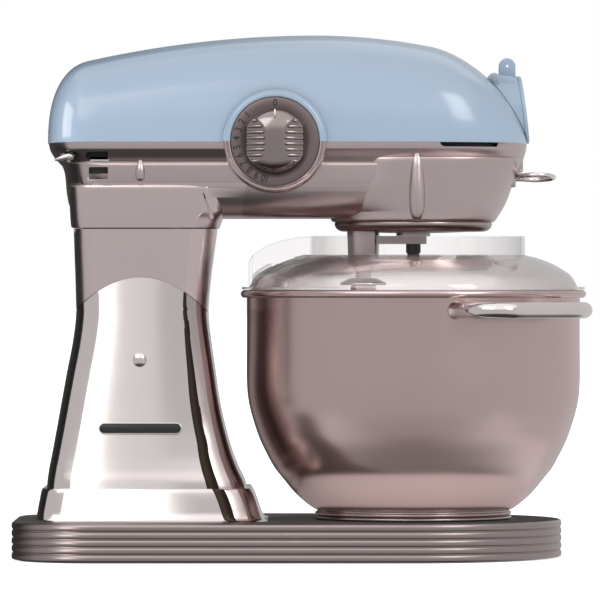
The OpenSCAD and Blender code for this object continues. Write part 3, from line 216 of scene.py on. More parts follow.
def settle(obj):
    """Makes an object's modifiers part of its mesh."""
    bpy.context.view_layer.update()
    done = bpy.data.meshes.new_from_object(obj.evaluated_get(bpy.context.evaluated_depsgraph_get()))
    done.name = obj.name
    obj.modifiers.clear()
    obj.data = done


def bevel(obj, width, segments=3, angle=40):
    m = obj.modifiers.new("edge", "BEVEL")
    m.width, m.segments, m.limit_method, m.angle_limit = width * MM, segments, "ANGLE", radians(angle)
    settle(obj)


def combine(obj, others, how):
    for other in others:
        m = obj.modifiers.new("join", "BOOLEAN")
        m.operation, m.object, m.solver = how, other, "MANIFOLD"
        settle(obj)
        bpy.data.objects.remove(other)
    return obj


def cut(obj, *others):
    return combine(obj, others, "DIFFERENCE")


def add(obj, *others):
    return combine(obj, others, "UNION")


def keep(obj, *others):
    return combine(obj, others, "INTERSECT")


def shade(obj, angle=30.0):
    """Smooth faces, with a sharp edge wherever two faces meet at more than the angle."""
    bm = bmesh.new()
    bm.from_mesh(obj.data)
    bmesh.ops.remove_doubles(bm, verts=bm.verts, dist=2e-7)
    bm.normal_update()
    for f in bm.faces:
        f.smooth = True
    for e in bm.edges:
        e.smooth = len(e.link_faces) != 2 or e.calc_face_angle(0) < radians(angle)
    bm.to_mesh(obj.data)
    bm.free()
    return obj


def rows_between(rows, steps=6):
    """A smooth curve through table rows, by their chord lengths."""
    def knot(t, a, b):
        return t + max(dist(a, b), 1e-6) ** 0.5

    out = []
    for i in range(len(rows) - 1):
        p1, p2 = rows[i], rows[i + 1]
        p0 = rows[i - 1] if i else tuple(2 * a - b for a, b in zip(p1, p2))
        p3 = rows[i + 2] if i + 2 < len(rows) else tuple(2 * b - a for a, b in zip(p1, p2))
        t0 = 0.0
        t1 = knot(t0, p0, p1)
        t2 = knot(t1, p1, p2)
        t3 = knot(t2, p2, p3)

        def mix(a, b, ta, tb, t):
            return [(tb - t) / (tb - ta) * x + (t - ta) / (tb - ta) * y for x, y in zip(a, b)]

        for k in range(steps):
            t = t1 + (t2 - t1) * k / steps
            a1, a2, a3 = mix(p0, p1, t0, t1, t), mix(p1, p2, t1, t2, t), mix(p2, p3, t2, t3, t)
            b1, b2 = mix(a1, a2, t0, t2, t), mix(a2, a3, t1, t3, t)
            out.append(tuple(mix(b1, b2, t1, t2, t)))
    return out + [tuple(rows[-1])]


# ---- outlines and shells
def se(v, n):
    return copysign(abs(v) ** (2 / n), v)


def arc(cx, cz, r, a0, a1, steps):
    return [(cx + r * cos(radians(a0 + (a1 - a0) * i / steps)),
             cz + r * sin(radians(a0 + (a1 - a0) * i / steps))) for i in range(steps + 1)]


def head_plan(z, rear, front, half, rear_run, front_run, n_rear, n_front, q=36):
    ring = []
    for i in range(4 * q):
        a = pi / 2 * i / q
        c, s = cos(a), sin(a)
        if abs(c) < 1e-9:
            ring.append(((rear + rear_run + front - front_run) / 2, copysign(half, s), z))
        elif c > 0:
            ring.append((front - front_run + front_run * se(c, n_front), half * se(s, n_front), z))
        else:
            ring.append((rear + rear_run + rear_run * se(c, n_rear), half * se(s, n_rear), z))
    return ring


def crease_at(z):
    """Depth of the corner crease and width of its cove at a height."""
    for (z0, c0, w0), (z1, c1, w1) in zip(CREASES, CREASES[1:]):
        if z <= z1:
            t = max(0.0, (z - z0) / (z1 - z0))
            return c0 + (c1 - c0) * t, w0 + (w1 - w0) * t
    return CREASES[-1][1:]


def column_plan(z, rear, front, half, inset=0.0, crown_by=2.6, rear_round=20.0):
    """Column outline: crowned sides, round rear corners, and a cove, a crest and facets at the front."""
    c, w = crease_at(z)
    w = max(0.8, w - 0.4 * inset)
    d = 0.22 * w
    r, xr, xf, h = rear_round - inset, rear + inset, front - inset, half - inset
    f, mid, run = 22.0 * (0.6 + 0.4 * c / 15.5), (rear + front) / 2, (front - rear) / 2

    def side_y(x):
        return h - d - crown_by * min(1.0, abs(x - mid) / run) ** 2

    crest = side_y(xf - c) + d
    low = crest - 0.30 * c
    corner = [(xf, h - f), (xf - 0.05 * c, h - 0.62 * f),
              (xf - 0.25 * c, low - 0.5), (xf - 0.55 * c, low + 0.14 * c)]
    corner = [tuple((1 - t) ** 3 * p0 + 3 * t * (1 - t) ** 2 * p1 + 3 * t * t * (1 - t) * p2 + t ** 3 * p3
                    for p0, p1, p2, p3 in zip(*corner)) for t in (k / 10 for k in range(11))]
    side = [(xf, (h - f) * k / 4) for k in range(1, 4)] + corner
    side += [(xf - c + 0.9, crest - 0.34), (xf - c + 0.45, crest - 0.1), (xf - c, crest)]
    side += [(x, side_y(x) + d * t * t)
             for t, x in ((t, xf - c - w * (1 - t)) for t in (0.85, 0.7, 0.55, 0.4, 0.25, 0.1))]
    start, stop = xf - c - w, xr + r
    side += [(x, side_y(x)) for x in (start - (start - stop) * k / 14 for k in range(0, 14))]
    hr = side_y(stop)
    side += [(xr + r - r * se(sin(radians(6 * i)), 2.2), hr - r + r * se(cos(radians(6 * i)), 2.2))
             for i in range(16)]
    side += [(xr, (hr - r) * (1 - k / 4)) for k in range(1, 4)]
    return [(x, y, z) for x, y in [(xf, 0)] + side + [(xr, 0)]] + [(x, -y, z) for x, y in side[::-1]]


def plan_loft(name, rows, plan, steps=6):
    return loft(name, [plan(*r) for r in rows_between(rows, steps)])


def crown(x):
    return CROWN_Z - (0.0007 if x < CROWN_X else 0.0012) * (x - CROWN_X) ** 2


def rear_share(x, run):
    return max(0.0, (HEAD_REAR + run - x) / run)


def rise(x):
    return ((crown(x) - PART_Z) * max(0.0, 1 - rear_share(x, 30) ** 2.5) ** (1 / 2.5)
            * max(0.0, 1 - max(0.0, (x - 12) / (HEAD_FRONT - 12)) ** 1.9) ** (1 / 1.95))


def breadth(x):
    return (HEAD_HALF * max(0.0, 1 - rear_share(x, 34) ** 2.6) ** (1 / 2.6)
            * max(0.0, 1 - max(0.0, (x + 5) / (HEAD_FRONT + 5)) ** 2.3) ** (1 / 2.3))


def cover_form(name, shrink, across=72, lip=0.7):
    """The cover's solid, smaller by shrink, with a small round along its lower edge."""
    xr, xf = HEAD_REAR + shrink, HEAD_FRONT - shrink
    xs = [xr + 34 * (1 - sin(radians(3 + 87 * i / 22))) for i in range(22, -1, -1)]
    xs += [xs[-1] + (12 - xs[-1]) * i / 34 for i in range(1, 35)]
    xs += [12 + (xf - 12) * sin(radians(88.6 * i / 40)) for i in range(1, 41)]
    rings = []
    for x in xs:
        k = (x - CROWN_X) * shrink / 190
        w, h = max(breadth(x + k) - shrink, 1.2), max(rise(x + k) - shrink, 0.9)
        low = min(lip, 0.3 * w, 0.4 * h)
        ring = [(x, w - low, PART_Z), (x, w - 0.3 * low, PART_Z + 0.3 * low)]
        for i in range(across + 1):
            a = pi * i / across
            z = PART_Z + max(h * se(sin(a), 2.6), low)
            ring.append((x, w * se(cos(a), 2.6), z))
        ring += [(x, -w + 0.3 * low, PART_Z + 0.3 * low), (x, -w + low, PART_Z)]
        rings.append(ring)
    return loft(name, rings)


# ---- materials
M = {}


def shader_of(name, **values):
    """A new material's tree, its shader with some values set, and the object's coordinates."""
    M[name] = bpy.data.materials.new(name)
    M[name].use_nodes = True
    t = M[name].node_tree
    b = t.nodes["Principled BSDF"]
    for key, value in values.items():
        b.inputs[key.replace("_", " ")].default_value = value
    return t, b, put(t, "TexCoord").outputs["Object"]


def put(tree, kind, *feeds, **values):
    """A node. Feeds fill its inputs in order, values its inputs or settings by name; nodes get linked."""
    n = tree.nodes.new("ShaderNode" + kind)
    named = set(n.inputs.keys())
    for key, value in values.items():
        if key not in named:
            setattr(n, key, value)
    for key, value in [*enumerate(feeds), *((k, v) for k, v in values.items() if k in named)]:
        if isinstance(value, bpy.types.Node):
            value = value.outputs[0]
        if isinstance(value, bpy.types.NodeSocket):
            tree.links.new(value, n.inputs[key])
        else:
            n.inputs[key].default_value = value
    return n


def grain_vector(tree, kind, across, along):
    """Coordinates that stretch a noise into fine lines: straight along an axis, or turned about one."""
    place = put(tree, "TexCoord").outputs["Object"]
    if isinstance(kind, str):
        return put(tree, "Mapping", place, Scale=[along if a == kind else across for a in "XYZ"]).outputs[0]
    centre, axis = kind
    shift = put(tree, "VectorMath", place, [c * MM for c in centre], operation="SUBTRACT")
    parts = put(tree, "SeparateXYZ", shift).outputs
    u, v = (parts[a] for a in {"Z": "XY", "Y": "XZ", "X": "YZ"}[axis])
    angle = put(tree, "Math", v, u, operation="ARCTAN2").outputs[0]
    flat = put(tree, "CombineXYZ", u, v)
    radius = put(tree, "VectorMath", flat, operation="LENGTH").outputs["Value"]
    scaled = [put(tree, "Math", source, scale, operation="MULTIPLY").outputs[0]
              for source, scale in ((angle, along * 0.05), (radius, across), (parts[axis], across))]
    return put(tree, "CombineXYZ", *scaled).outputs[0]


def noise(tree, vector, scale, detail=2.0, rough=0.5):
    return put(tree, "TexNoise", Vector=vector, Scale=scale, Detail=detail, Roughness=rough).outputs["Fac"]


def ramp_to(tree, source, socket, low, high):
    tree.links.new(put(tree, "MapRange", source, 0, 1, low, high).outputs[0], socket)


def tint(tree, source, shader, colour, share):
    """Drifts the shader's colour by a share either way."""
    dark, light = [c * (1 - share) for c in colour], [min(c * (1 + share), 1) for c in colour]
    mix = put(tree, "Mix", data_type="RGBA", Factor=source, A=(*dark, 1), B=(*light, 1))
    tree.links.new(mix.outputs["Result"], shader.inputs["Base Color"])


def emboss(tree, height, shader, strength, depth):
    bump = put(tree, "Bump", Height=height, Strength=strength, Distance=depth)
    tree.links.new(bump.outputs[0], shader.inputs["Normal"])


def metal(name, colour, rough, kind="X", across=2600.0, along=40.0, spread=0.05, bump=0.015, cloud=0.05,
          metallic=1.0):
    """Metal with a brushed or turned grain, soft clouding of its tone and roughness, and a fine bump."""
    t, b, place = shader_of(name, Metallic=metallic)
    grain = noise(t, grain_vector(t, kind, across, along), 1.0, 3.0, 0.62)
    share = put(t, "Math", grain, 0.45, operation="MULTIPLY").outputs[0]
    both = put(t, "Math", noise(t, place, 14.0, 3.0, 0.55), 0.55, share, operation="MULTIPLY_ADD").outputs[0]
    ramp_to(t, both, b.inputs["Roughness"], max(rough - spread, 0.02), rough + spread)
    tint(t, both, b, colour, cloud)
    emboss(t, grain, b, bump, 0.0004)


def enamel(name, colour, rough=0.2, peel=0.02):
    """Sprayed enamel under a clear coat, with faint orange peel and tone drift."""
    t, b, place = shader_of(name, Coat_Weight=0.6, Coat_Roughness=0.12)
    drift = noise(t, place, 9.0)
    tint(t, drift, b, colour, 0.025)
    ramp_to(t, drift, b.inputs["Roughness"], rough - 0.03, rough + 0.04)
    emboss(t, noise(t, place, 420.0, 2.0, 0.4), b, peel, 0.0006)


def plastic(name, colour, rough=0.45, grain=900.0, bump=0.12):
    t, b, place = shader_of(name)
    broad = noise(t, place, 22.0, 3.0)
    tint(t, broad, b, colour, 0.1)
    ramp_to(t, broad, b.inputs["Roughness"], rough - 0.06, rough + 0.08)
    emboss(t, noise(t, place, grain, 3.0, 0.6), b, bump, 0.0003)


def clear(name, through, shine, solid, edge, rough=0.04):
    """Clear moulded plastic that shows what is behind it, with more shine towards its edges."""
    t, b, place = shader_of(name, Base_Color=(*shine, 1), Metallic=1.0)
    ramp_to(t, noise(t, place, 24.0), b.inputs["Roughness"], rough, rough + 0.05)
    window = put(t, "BsdfTransparent", (*through, 1))
    slant = put(t, "LayerWeight", 0.35)
    share = put(t, "MapRange", slant.outputs["Facing"], 0, 1, solid, edge)
    mix = put(t, "MixShader", share, window, b)
    t.links.new(mix.outputs[0], t.nodes["Material Output"].inputs["Surface"])


DIAL_AXIS = (DIAL, "Y")
HUB_AXIS = ((0, 0, 0), "Z")
MOTOR_AXIS = ((0, 0, 279), "X")
POLISH = {"spread": 0.03, "bump": 0.01, "cloud": 0.02}

enamel("blue", (0.268, 0.345, 0.44))
metal("rose", (0.60, 0.505, 0.50), 0.29, "X", bump=0.02)
# Painted light: a lighter copy of the cast rose-grey metal, with an upright grain, for the column and the neck,
# brightened for how light falls on their upright faces.
metal("rose_upright", (0.72, 0.61, 0.605), 0.28, "Z", bump=0.02)
metal("base", (0.37, 0.31, 0.30), 0.32, "X", bump=0.02)
# Painted shade: a darker copy of the polished metal for the column's front facets, standing in for their
# reflection of dark surroundings.
metal("facet", (0.52, 0.445, 0.43), 0.16, "Z", **POLISH)
# Painted shade: a near black copy of the polished metal for the cove along the column's front, standing in for
# a dark reflection there.
metal("cove", (0.035, 0.026, 0.02), 0.3, "Z", **POLISH)
metal("bezel", (0.66, 0.57, 0.56), 0.13, DIAL_AXIS, spread=0.03, bump=0.005, cloud=0.02)
metal("polished", (0.80, 0.73, 0.72), 0.12, "Z", **POLISH)
metal("bowl", (0.61, 0.465, 0.455), 0.25, HUB_AXIS, across=1800, along=24, spread=0.03, bump=0.012, cloud=0.03)
metal("bright", (0.80, 0.74, 0.73), 0.08, HUB_AXIS, spread=0.02, bump=0.004, cloud=0.02)
metal("chrome", (0.84, 0.80, 0.79), 0.07, "X", spread=0.02, bump=0.003, cloud=0.02)
metal("dial", (0.235, 0.19, 0.186), 0.40, DIAL_AXIS, across=3500, along=60, bump=0.04)
metal("knob", (0.35, 0.30, 0.29), 0.16, DIAL_AXIS, across=2500, along=60, bump=0.01)
metal("steel", (0.52, 0.52, 0.53), 0.3, HUB_AXIS, bump=0.05)
metal("steel_x", (0.52, 0.52, 0.53), 0.28, MOTOR_AXIS, bump=0.05)
metal("zinc", (0.45, 0.45, 0.47), 0.34, "X", across=900, along=900, bump=0.1, cloud=0.12)
metal("lamination", (0.22, 0.23, 0.25), 0.42, "Y", across=2600, along=1.0, bump=0.35, cloud=0.15)
metal("alloy", (0.42, 0.42, 0.43), 0.5, "X", across=700, along=700, bump=0.3, cloud=0.1)
metal("brass", (0.62, 0.46, 0.20), 0.28, MOTOR_AXIS, bump=0.05)
metal("copper", (0.60, 0.24, 0.10), 0.33, MOTOR_AXIS, across=900, along=2.0, bump=0.6, cloud=0.2)
plastic("black", (0.012, 0.012, 0.012), 0.42)
plastic("badge", (0.01, 0.01, 0.01), 0.2, bump=0.02)
plastic("gear", (0.62, 0.60, 0.52), 0.45)
plastic("rubber", (0.02, 0.02, 0.02), 0.75, grain=1400, bump=0.3)
plastic("board", (0.02, 0.12, 0.05), 0.4, bump=0.05)
plastic("ink", (0.015, 0.013, 0.013), 0.5, bump=0.02)
plastic("mark", (0.75, 0.74, 0.72), 0.4, bump=0.02)
clear("clear", (0.992, 0.986, 0.986), (0.86, 0.83, 0.83), 0.015, 0.42)
clear("guard_dome", (0.985, 0.972, 0.972), (0.95, 0.90, 0.89), 0.02, 0.92, 0.06)
# Painted shade: a darker copy of the cast rose-grey metal for the drip ring, planet carrier and bowl foot,
# standing in for the shade under the head and bowl.
metal("rose_dark", (0.42, 0.36, 0.35), 0.26, HUB_AXIS, bump=0.02)
# Painted shade: a near black copy of the base's metal for its top, standing in for the shade and dark
# reflection under the bowl.
metal("deck", (0.10, 0.085, 0.08), 0.55, "X", bump=0.02, metallic=0.6)
# each slot's looks, first the one that most of its CAD nodes take
LOOKS_OF_SLOT = {
    "blue_enamel": "blue", "cast_rose_grey": "rose rose_upright rose_dark", "base_metal": "base deck",
    "polished_panel": "polished", "bowl_steel": "bowl", "bright_steel": "bright chrome bezel", "steel": "steel",
    "dial_grey": "dial", "knob_metal": "knob mark", "black_plastic": "black ink", "badge_black": "badge",
    "clear_plastic": "clear guard_dome", "rubber": "rubber", "cast_alloy": "alloy", "board": "board",
    "lamination": "lamination", "copper_wire": "copper", "brass": "brass", "gear_plastic": "gear"}
OTHER_LOOKS = {
    # The column takes the lighter, painted-light copy of the cast metal.
    "zinc": "bottom_cover bottom_screws column_bolts latch_link latch_hook", "rose_upright": "column",
    "steel_x": "motor_bearings rotor_shaft output_shaft output_bearings", "rose": "beater_spindle tool_shield",
    # The drip ring, planet carrier and bowl foot take the darker, painted-shade copy of the cast metal.
    "chrome": "release_lever outlet_collar ring_pull", "rose_dark": "drip_ring planet_carrier bowl_foot"}


def piece(obj, body, look, replaced=(), angle=30.0):
    shade(obj, angle)
    obj.data.materials.clear()
    obj.data.materials.append(M[look])
    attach(obj, body)
    if replaced:
        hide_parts(*replaced)
    return obj


# ---- head
def span(side, a, b):
    """Two distances from the middle plane, as y on one side of it, the lower first."""
    return sorted((side * a, side * b))


def cylinder(r, a, b, axis="Z", centre=(0, 0, 0), segments=96, name="tool"):
    return lathe(name, [(0, a), (r, a), (r, b), (0, b)], centre, axis, segments)


def bezel_half(name, profile, upper):
    start = 0 if upper else 180
    return lathe(name, profile, DIAL, "Y", 96, start, 180)


def make_cover():
    cover = cover_form("cover_shell", 0)
    inner = cover_form("inner", 3, 40, 0)
    inner.data.transform(shift(0, 0, -0.02))
    cut(cover, inner, cylinder(DIAL_R, DIAL_FACE - 6, -40, "Y", DIAL),
        cylinder(16, 40, 90, "X", (0, 0, OUTLET_Z)),
        *(cylinder(5, *span(s, 7, 15.4), "Y", FLAP_PIN, 64) for s in (-1, 1)))
    piece(cover, "head", "blue", ["head_cover"], 35)
    y = DIAL_FACE
    profile = [(DIAL_R, -57), (DIAL_R, y - 0.6), (DIAL_R + 0.5, y - 1.3), (DIAL_R + 1.3, y - 1.5),
               (BEZEL_R - 2.2, y - 1.2), (BEZEL_R - 1.0, y - 0.6), (BEZEL_R, y + 0.5),
               (BEZEL_R + 0.7, y + 2.2), (BEZEL_R + 1.1, y + 4.4), (BEZEL_R + 1.2, -57)]
    piece(bezel_half("cover_bezel", profile, True), "head", "blue", angle=40)
    ear = lathe("cover_knuckle", [(1.5, -7), (3.9, -7), (4.3, -6.6), (4.3, 6.6), (3.9, 7), (1.5, 7)],
                FLAP_PIN, "Y", 48)
    piece(ear, "head", "blue")


def rib(rows, x, y):
    return lathe("rib", rows_between(rows, 5) + [(0, rows[-1][1]), (0, rows[0][1])], (x, y, 0), segments=48)


def make_shell():
    shell = plan_loft("lower_shell", SHELL_ROWS, lambda z, a, b, h: head_plan(z, a, b, h, 34, 86, 2.6, 2.3))
    neck = plan_loft("neck", NECK_ROWS, column_plan)
    housing = plan_loft("housing", HOUSING_ROWS, lambda z, a, b, h: head_plan(
        z, a, b, h, -a, b, 2 + 1.3 * min(1.0, max(0.0, z - 243) / 18), 2 + (z - 236.5) / 141))
    add(shell, neck, housing)
    for s in (-1, 1):
        add(shell, rib(FRONT_RIB, 1.4, s * 57.8), rib(REAR_RIB, ARCH_X, s * 56))
    hollow = plan_loft("hollow", HOLLOW_ROWS, lambda z, a, b,
                       h: head_plan(z, a, b, h, 32, 84, 2.6, 2.3, 18), 3)
    cut(hollow, block("pocket", (-262, -70, LEVER[1] - 9), (LEVER[0] + 8, -40.6, LEVER[1] + 8)))
    cut(shell, hollow, loft("neck_hollow", [column_plan(z, -239, -140, 50) for z in (236, 262)]),
        cylinder(55, 238.5, 268, segments=128))
    cut(shell, cylinder(DIAL_R, DIAL_FACE - 6, -40, "Y", DIAL), cylinder(47, 230, 240),
        block("hook_slot", (LATCH[0] - 7, -39.5, 228), (LATCH[0] + 15.5, -31.5, 238)),
        cylinder(9, 228, 238, "Z", (-200, 0, 0)))
    for s in (-1, 1):
        a, b = span(s, 27.6, LUG_END)
        cut(shell, cylinder(3.7, a, b, "Y", PIN, 64))
        a, b = span(s, 50, 70)
        cut(shell, slot_cutter(-229.4, -213.8, 279.2, 284.9, a, b),
            block("vent", (-227.2, a, 265.2), (-213.8, b, 274.2), 0.9))
        a, b = span(s, 40, 70)
        outline = [(16.6, 1), (64.9, 1), (64.4, -1.4), (63.0, -2.6), (61.4, -3), (20.5, -3), (18.4, -2)]
        cut(shell, prism("under_slot", [(x, PART_Z + z) for x, z in outline], a, b))
    for s in (-1, 1):
        a, b = span(s, 48, 60)
        cut(shell, prism("corner_groove", [(-147.2, 256.5), (-140.2, 239.6), (-140.4, 238.2), (-141.8, 237.9),
                                           (-142.8, 238.9), (-147.6, 256)], a, b))
    cut(shell, lever_pocket(), cylinder(2.6, -58, -30, "Y", (LEVER[0], 0, LEVER[1]), 32),
        cylinder(3.1, 55, 90, "X", (0, 0, RING_Z), 48), cylinder(16, 40, 90, "X", (0, 0, OUTLET_Z)))
    add(shell, cylinder(3.2, -27.6, 27.6, "Y", PIN, 64),
        block("knuckle_web", (PIN[0], -27.6, 232), (PIN[0] + 12, 27.6, 237)),
        block("ring_boss", (58.4, -7, RING_Z - 7), (72.2, 7, RING_Z + 7), 1.2, 3),
        block("ring_bracket", (68, -3.4, RING_Z + 3.4), (77.4, 3.4, RING_Z + 13.4), 1.4, 3))
    cut(shell, cylinder(1.65, -LUG_END, LUG_END, "Y", PIN, 48), cylinder(3.1, 40, 90, "X", (0, 0, RING_Z), 48),
        rear_round(-240.6, 231.9, -1))
    piece(shell, "head", "rose", ["head_shell"], 28)
    shell.data.materials.append(M["rose_upright"])
    # The neck's faces take the lighter copy of the same cast metal: painted light.
    for f in shell.data.polygons:
        if f.center.z < 262.6 * MM and f.center.x < -127 * MM:
            f.material_index = 1
    y = DIAL_FACE
    profile = [(DIAL_R, -56), (DIAL_R, y - 0.9), (DIAL_R + 0.3, y - 1.6), (DIAL_R + 0.7, y - 1.5),
               (DIAL_R + 1.4, y - 0.6), (DIAL_R + 2.2, y + 0.1), (DIAL_R + 2.7, y - 0.1),
               (DIAL_R + 3.1, y - 0.7), (DIAL_R + 3.5, y - 0.6), (BEZEL_R - 0.7, y + 0.3),
               (BEZEL_R - 0.2, y + 1.2),
               (BEZEL_R + 0.1, y + 2.4), (BEZEL_R + 0.2, -56)]
    piece(bezel_half("shell_bezel", profile, False), "head", "bezel", angle=45)


def rear_round(x, z, side, r=2.0):
    """Cutter that rounds a horizontal rear edge at (x, z): side 1 for an upper edge, -1 for a lower one."""
    curve = [(x + r - r * cos(radians(9 * k)), z - side * r * (1 - sin(radians(9 * k)))) for k in range(11)]
    return prism("round", curve + [(x + r, z + side * 3), (x - 5, z + side * 3), (x - 5, z - side * r)],
                 -60, 60)


def slot_cutter(x0, x1, z0, z1, a, b):
    """A ventilation opening with a round rear end, open towards the front."""
    r = (z1 - z0) / 2
    return prism("vent", arc(x0 + r, (z0 + z1) / 2, r, 90, 270, 12) + [(x1, z0), (x1, z1)], a, b)


def lever_pocket():
    x, z = LEVER
    outline = [(-264, z + 0.6), (x - 9, z + 0.4), (x - 5.5, z + 2.2), (x - 1, z + 3.5), (x + 3, z + 2.9),
               (x + 5.6, z + 1.2), (x + 3.4, z - 1.6), (x - 0.5, z - 4), (x - 5, z - 5.8), (-264, z - 7.6)]
    return prism("pocket", outline, -72, -42.6)


def along(axis, name, outline, a, b):
    """A straight bar along X or Z, from its section in the other two directions."""
    return loft(name, [[(u, v, h) if axis == "Z" else (h, u, v) for u, v in outline] for h in (a, b)])


def make_liners():
    """Black screens behind the openings in the shell's sides, painted shade standing in for their dark insides,
    and bright sills.
    """
    for s, side in ((-1, "near"), (1, "far")):
        a, b = span(s, 49.0, 50.4)
        piece(block(f"vent_screen_{side}", (-233, a, 262), (-206, b, 288), 0.3), "head", "black")
        low = [(50.3, 264.6), (55.4, 264.6), (55.4, 265.6), (51.6, 269.6), (50.3, 269.6)]
        high = [(50.3, 278.4), (57.4, 278.4), (57.4, 279.4), (54, 281.4), (50.3, 281.4)]
        sill = along("X", "sill", [(s * y, z) for y, z in low], -228, -213)
        add(sill, along("X", "sill", [(s * y, z) for y, z in high], -226.2, -213))
        piece(sill, "head", "chrome")
        plan = [(x, s * y) for x, y in ((12, 47), (44, 44), (69, 27), (69, 25), (43, 42), (12, 45))]
        piece(along("Z", f"slot_screen_{side}", plan, 285, 291.2), "head", "black")
    outline = [(-236.5, 272), (-232, 272), (-232, 288), (-246.5, 288), (-244.5, 283), (-240, 278.5)]
    # The lever pocket's black screen is painted shade as well.
    piece(prism("pocket_screen", outline, -43.6, -42.4, 0.3), "head", "black")


def make_lever():
    x, z = LEVER
    path = [(x + 2.6, -50.5, z + 0.4), (x, -51.4, z + 0.2), (x - 4, -51.8, z - 0.8),
            (x - 8, -51.6, z - 1.9), (x - 11, -51, z - 2.6)]
    lever = sweep_tube("lever_tongue", path, [1.2, 2.5, 2.2, 1.6, 0.9], 24)
    add(lever, cylinder(2.5, -51, -37.7, "Y", (x, 0, z), 40))
    piece(lever, "lever", "chrome", ["release_lever"], 40)


# ---- column and base
def base_plan(z, inset, q=20):
    """The base's outline: a half round front and rounded rear corners."""
    r, rc = BASE_HALF - inset, BASE_CORNER - inset
    x1, x0 = BASE_FRONT - BASE_HALF, BASE_REAR + BASE_CORNER
    half = [(x1 + r * sin(a), r * cos(a)) for a in (radians(90 - 3 * k) for k in range(31))]
    half += [(x1 + (x0 - x1) * k / q, r) for k in range(1, q)]
    cy = BASE_HALF - BASE_CORNER
    half += [(x0 - rc * sin(a), cy + rc * cos(a)) for a in (radians(4.5 * k) for k in range(21))]
    half += [(BASE_REAR + inset, cy * (1 - k / 4)) for k in range(1, 4)]
    return [(x, y, z) for x, y in half + [(BASE_REAR + inset, 0)]] + [(x, -y, z) for x, y in half[:0:-1]]


def make_base():
    top = BASE_TOP
    rows = [(top - RIB_PITCH * RIB_COUNT - 0.2, 3.2), (top - RIB_PITCH * RIB_COUNT + 0.3, 1.1)]
    for k in range(RIB_COUNT - 1, -1, -1):
        low = top - RIB_PITCH * (k + 1)
        rows += [(low + RIB_PITCH * t, depth) for t, depth in RIB_SHAPE]
    rows = rows[:-2] + [(top - 0.5, 0.5), (top - 0.15, 1.0), (top, 1.8)]
    body = loft("base_body", [base_plan(z, i) for z, i in rows])
    cut(body, loft("hollow", [base_plan(z, 6) for z in (-1, top - 4)]))
    piece(body, "stand", "base", ["base_casting"], 40)
    # The top takes the near black copy of the base metal: painted shade.
    deck = loft("base_deck", [base_plan(top + z, i) for z, i in ((-0.4, 1.9), (0.02, 1.9), (0.06, 2.1))])
    piece(deck, "stand", "deck")


def arch_cutter(grow):
    """Everything below the arch line, a parabola across the column."""
    half = 62
    steps = [half * k / 40 for k in range(-40, 41)]
    crown_line = [(ARCH_X + x, ARCH_TOP + grow - x ** 2 / ARCH_CURVE) for x in steps]
    outline = [(ARCH_X - half, ARCH_TOP - 46), (-290, ARCH_TOP - 46), (-290, -5), (-90, -5),
               (-90, ARCH_TOP - 46), (ARCH_X + half, ARCH_TOP - 46)]
    return prism("arch_zone", crown_line + outline[::-1], -90, 90)


def column_form(name, inset, low=27.0, high=COLUMN_TOP, over=0.0):
    rows = rows_between(COLUMN_ROWS, 4)
    rows = [r for r in rows if low - 0.01 <= r[0] <= high + 0.01]
    if over:
        rows = [(rows[0][0] - over, *rows[0][1:])] + rows + [(rows[-1][0] + over, *rows[-1][1:])]
    return loft(name, [column_plan(*r, inset=inset) for r in rows])


def make_column():
    column = column_form("column_shell", 0)
    zone = arch_cutter(0.7)
    cut(zone, column_form("core", PANEL_THICK + 0.1, over=2))
    cut(column, zone, column_form("hollow", PANEL_THICK + WALL + 0.1, 31, 217))
    cut(column, rear_round(-238.8, COLUMN_TOP, 1), cylinder(3.6, -28.1, 28.1, "Y", PIN, 64))
    for s in (-1, 1):
        a, b = span(s, 28.1, LUG_END)
        add(column, cylinder(3.2, a, b, "Y", (PIN[0] + 0.8, 0, PIN[2] - 0.6), 64))
    cut(column, cylinder(1.6, -LUG_END, LUG_END, "Y", PIN, 48),
        block("hook_slot", (LATCH[0] - 7, -39.5, 200), (LATCH[0] + 19.5, -31.5, 240)),
        cylinder(9, 200, 240, "Z", (-200, 0, 0)), block("cable_hole", (-222, -30, 20), (-164, 30, 32)),
        cylinder(3.7, -70, -48.3, "Y", (ARCH_X, 0, BUTTON_Z), 48),
        cylinder(2.25, -70, -30, "Y", (ARCH_X, 0, BUTTON_Z), 32))
    # The column's shell takes the lighter, painted-light copy of the cast metal.
    piece(column, "stand", "rose_upright", ["column"], 17)
    tone_front(column)
    piece(cylinder(1.6, -LUG_END, LUG_END, "Y", PIN, 40, "hinge_rod"), "stand", "steel", ["hinge_pin"])

    panel = column_form("arched_panel", 0, 49.9, 208)
    keep(panel, arch_cutter(0))
    cut(panel, column_form("inside", PANEL_THICK, 49.9, 208, over=2),
        cylinder(3.7, -70, -30, "Y", (ARCH_X, 0, BUTTON_Z), 48))
    piece(panel, "stand", "polished", ["column_panel"], 17)
    tone_front(panel, True)

    rows = rows_between(PLINTH_ROWS[:3], 6)[:-1] + rows_between(PLINTH_ROWS[2:], 4)
    plinth = loft("column_foot", [column_plan(*r, crown_by=3.2) for r in rows])
    cut(plinth, column_form("inside", PANEL_THICK + 0.05, 27, 50.1, over=3))
    piece(plinth, "stand", "polished", ["column_plinth"], 17)
    tone_front(plinth, True, PLINTH_ROWS)


def front_at(z, rows):
    for a, b in zip(rows, rows[1:]):
        if z <= b[0]:
            return a[2] + (b[2] - a[2]) * (z - a[0]) / (b[0] - a[0])
    return rows[-1][2]


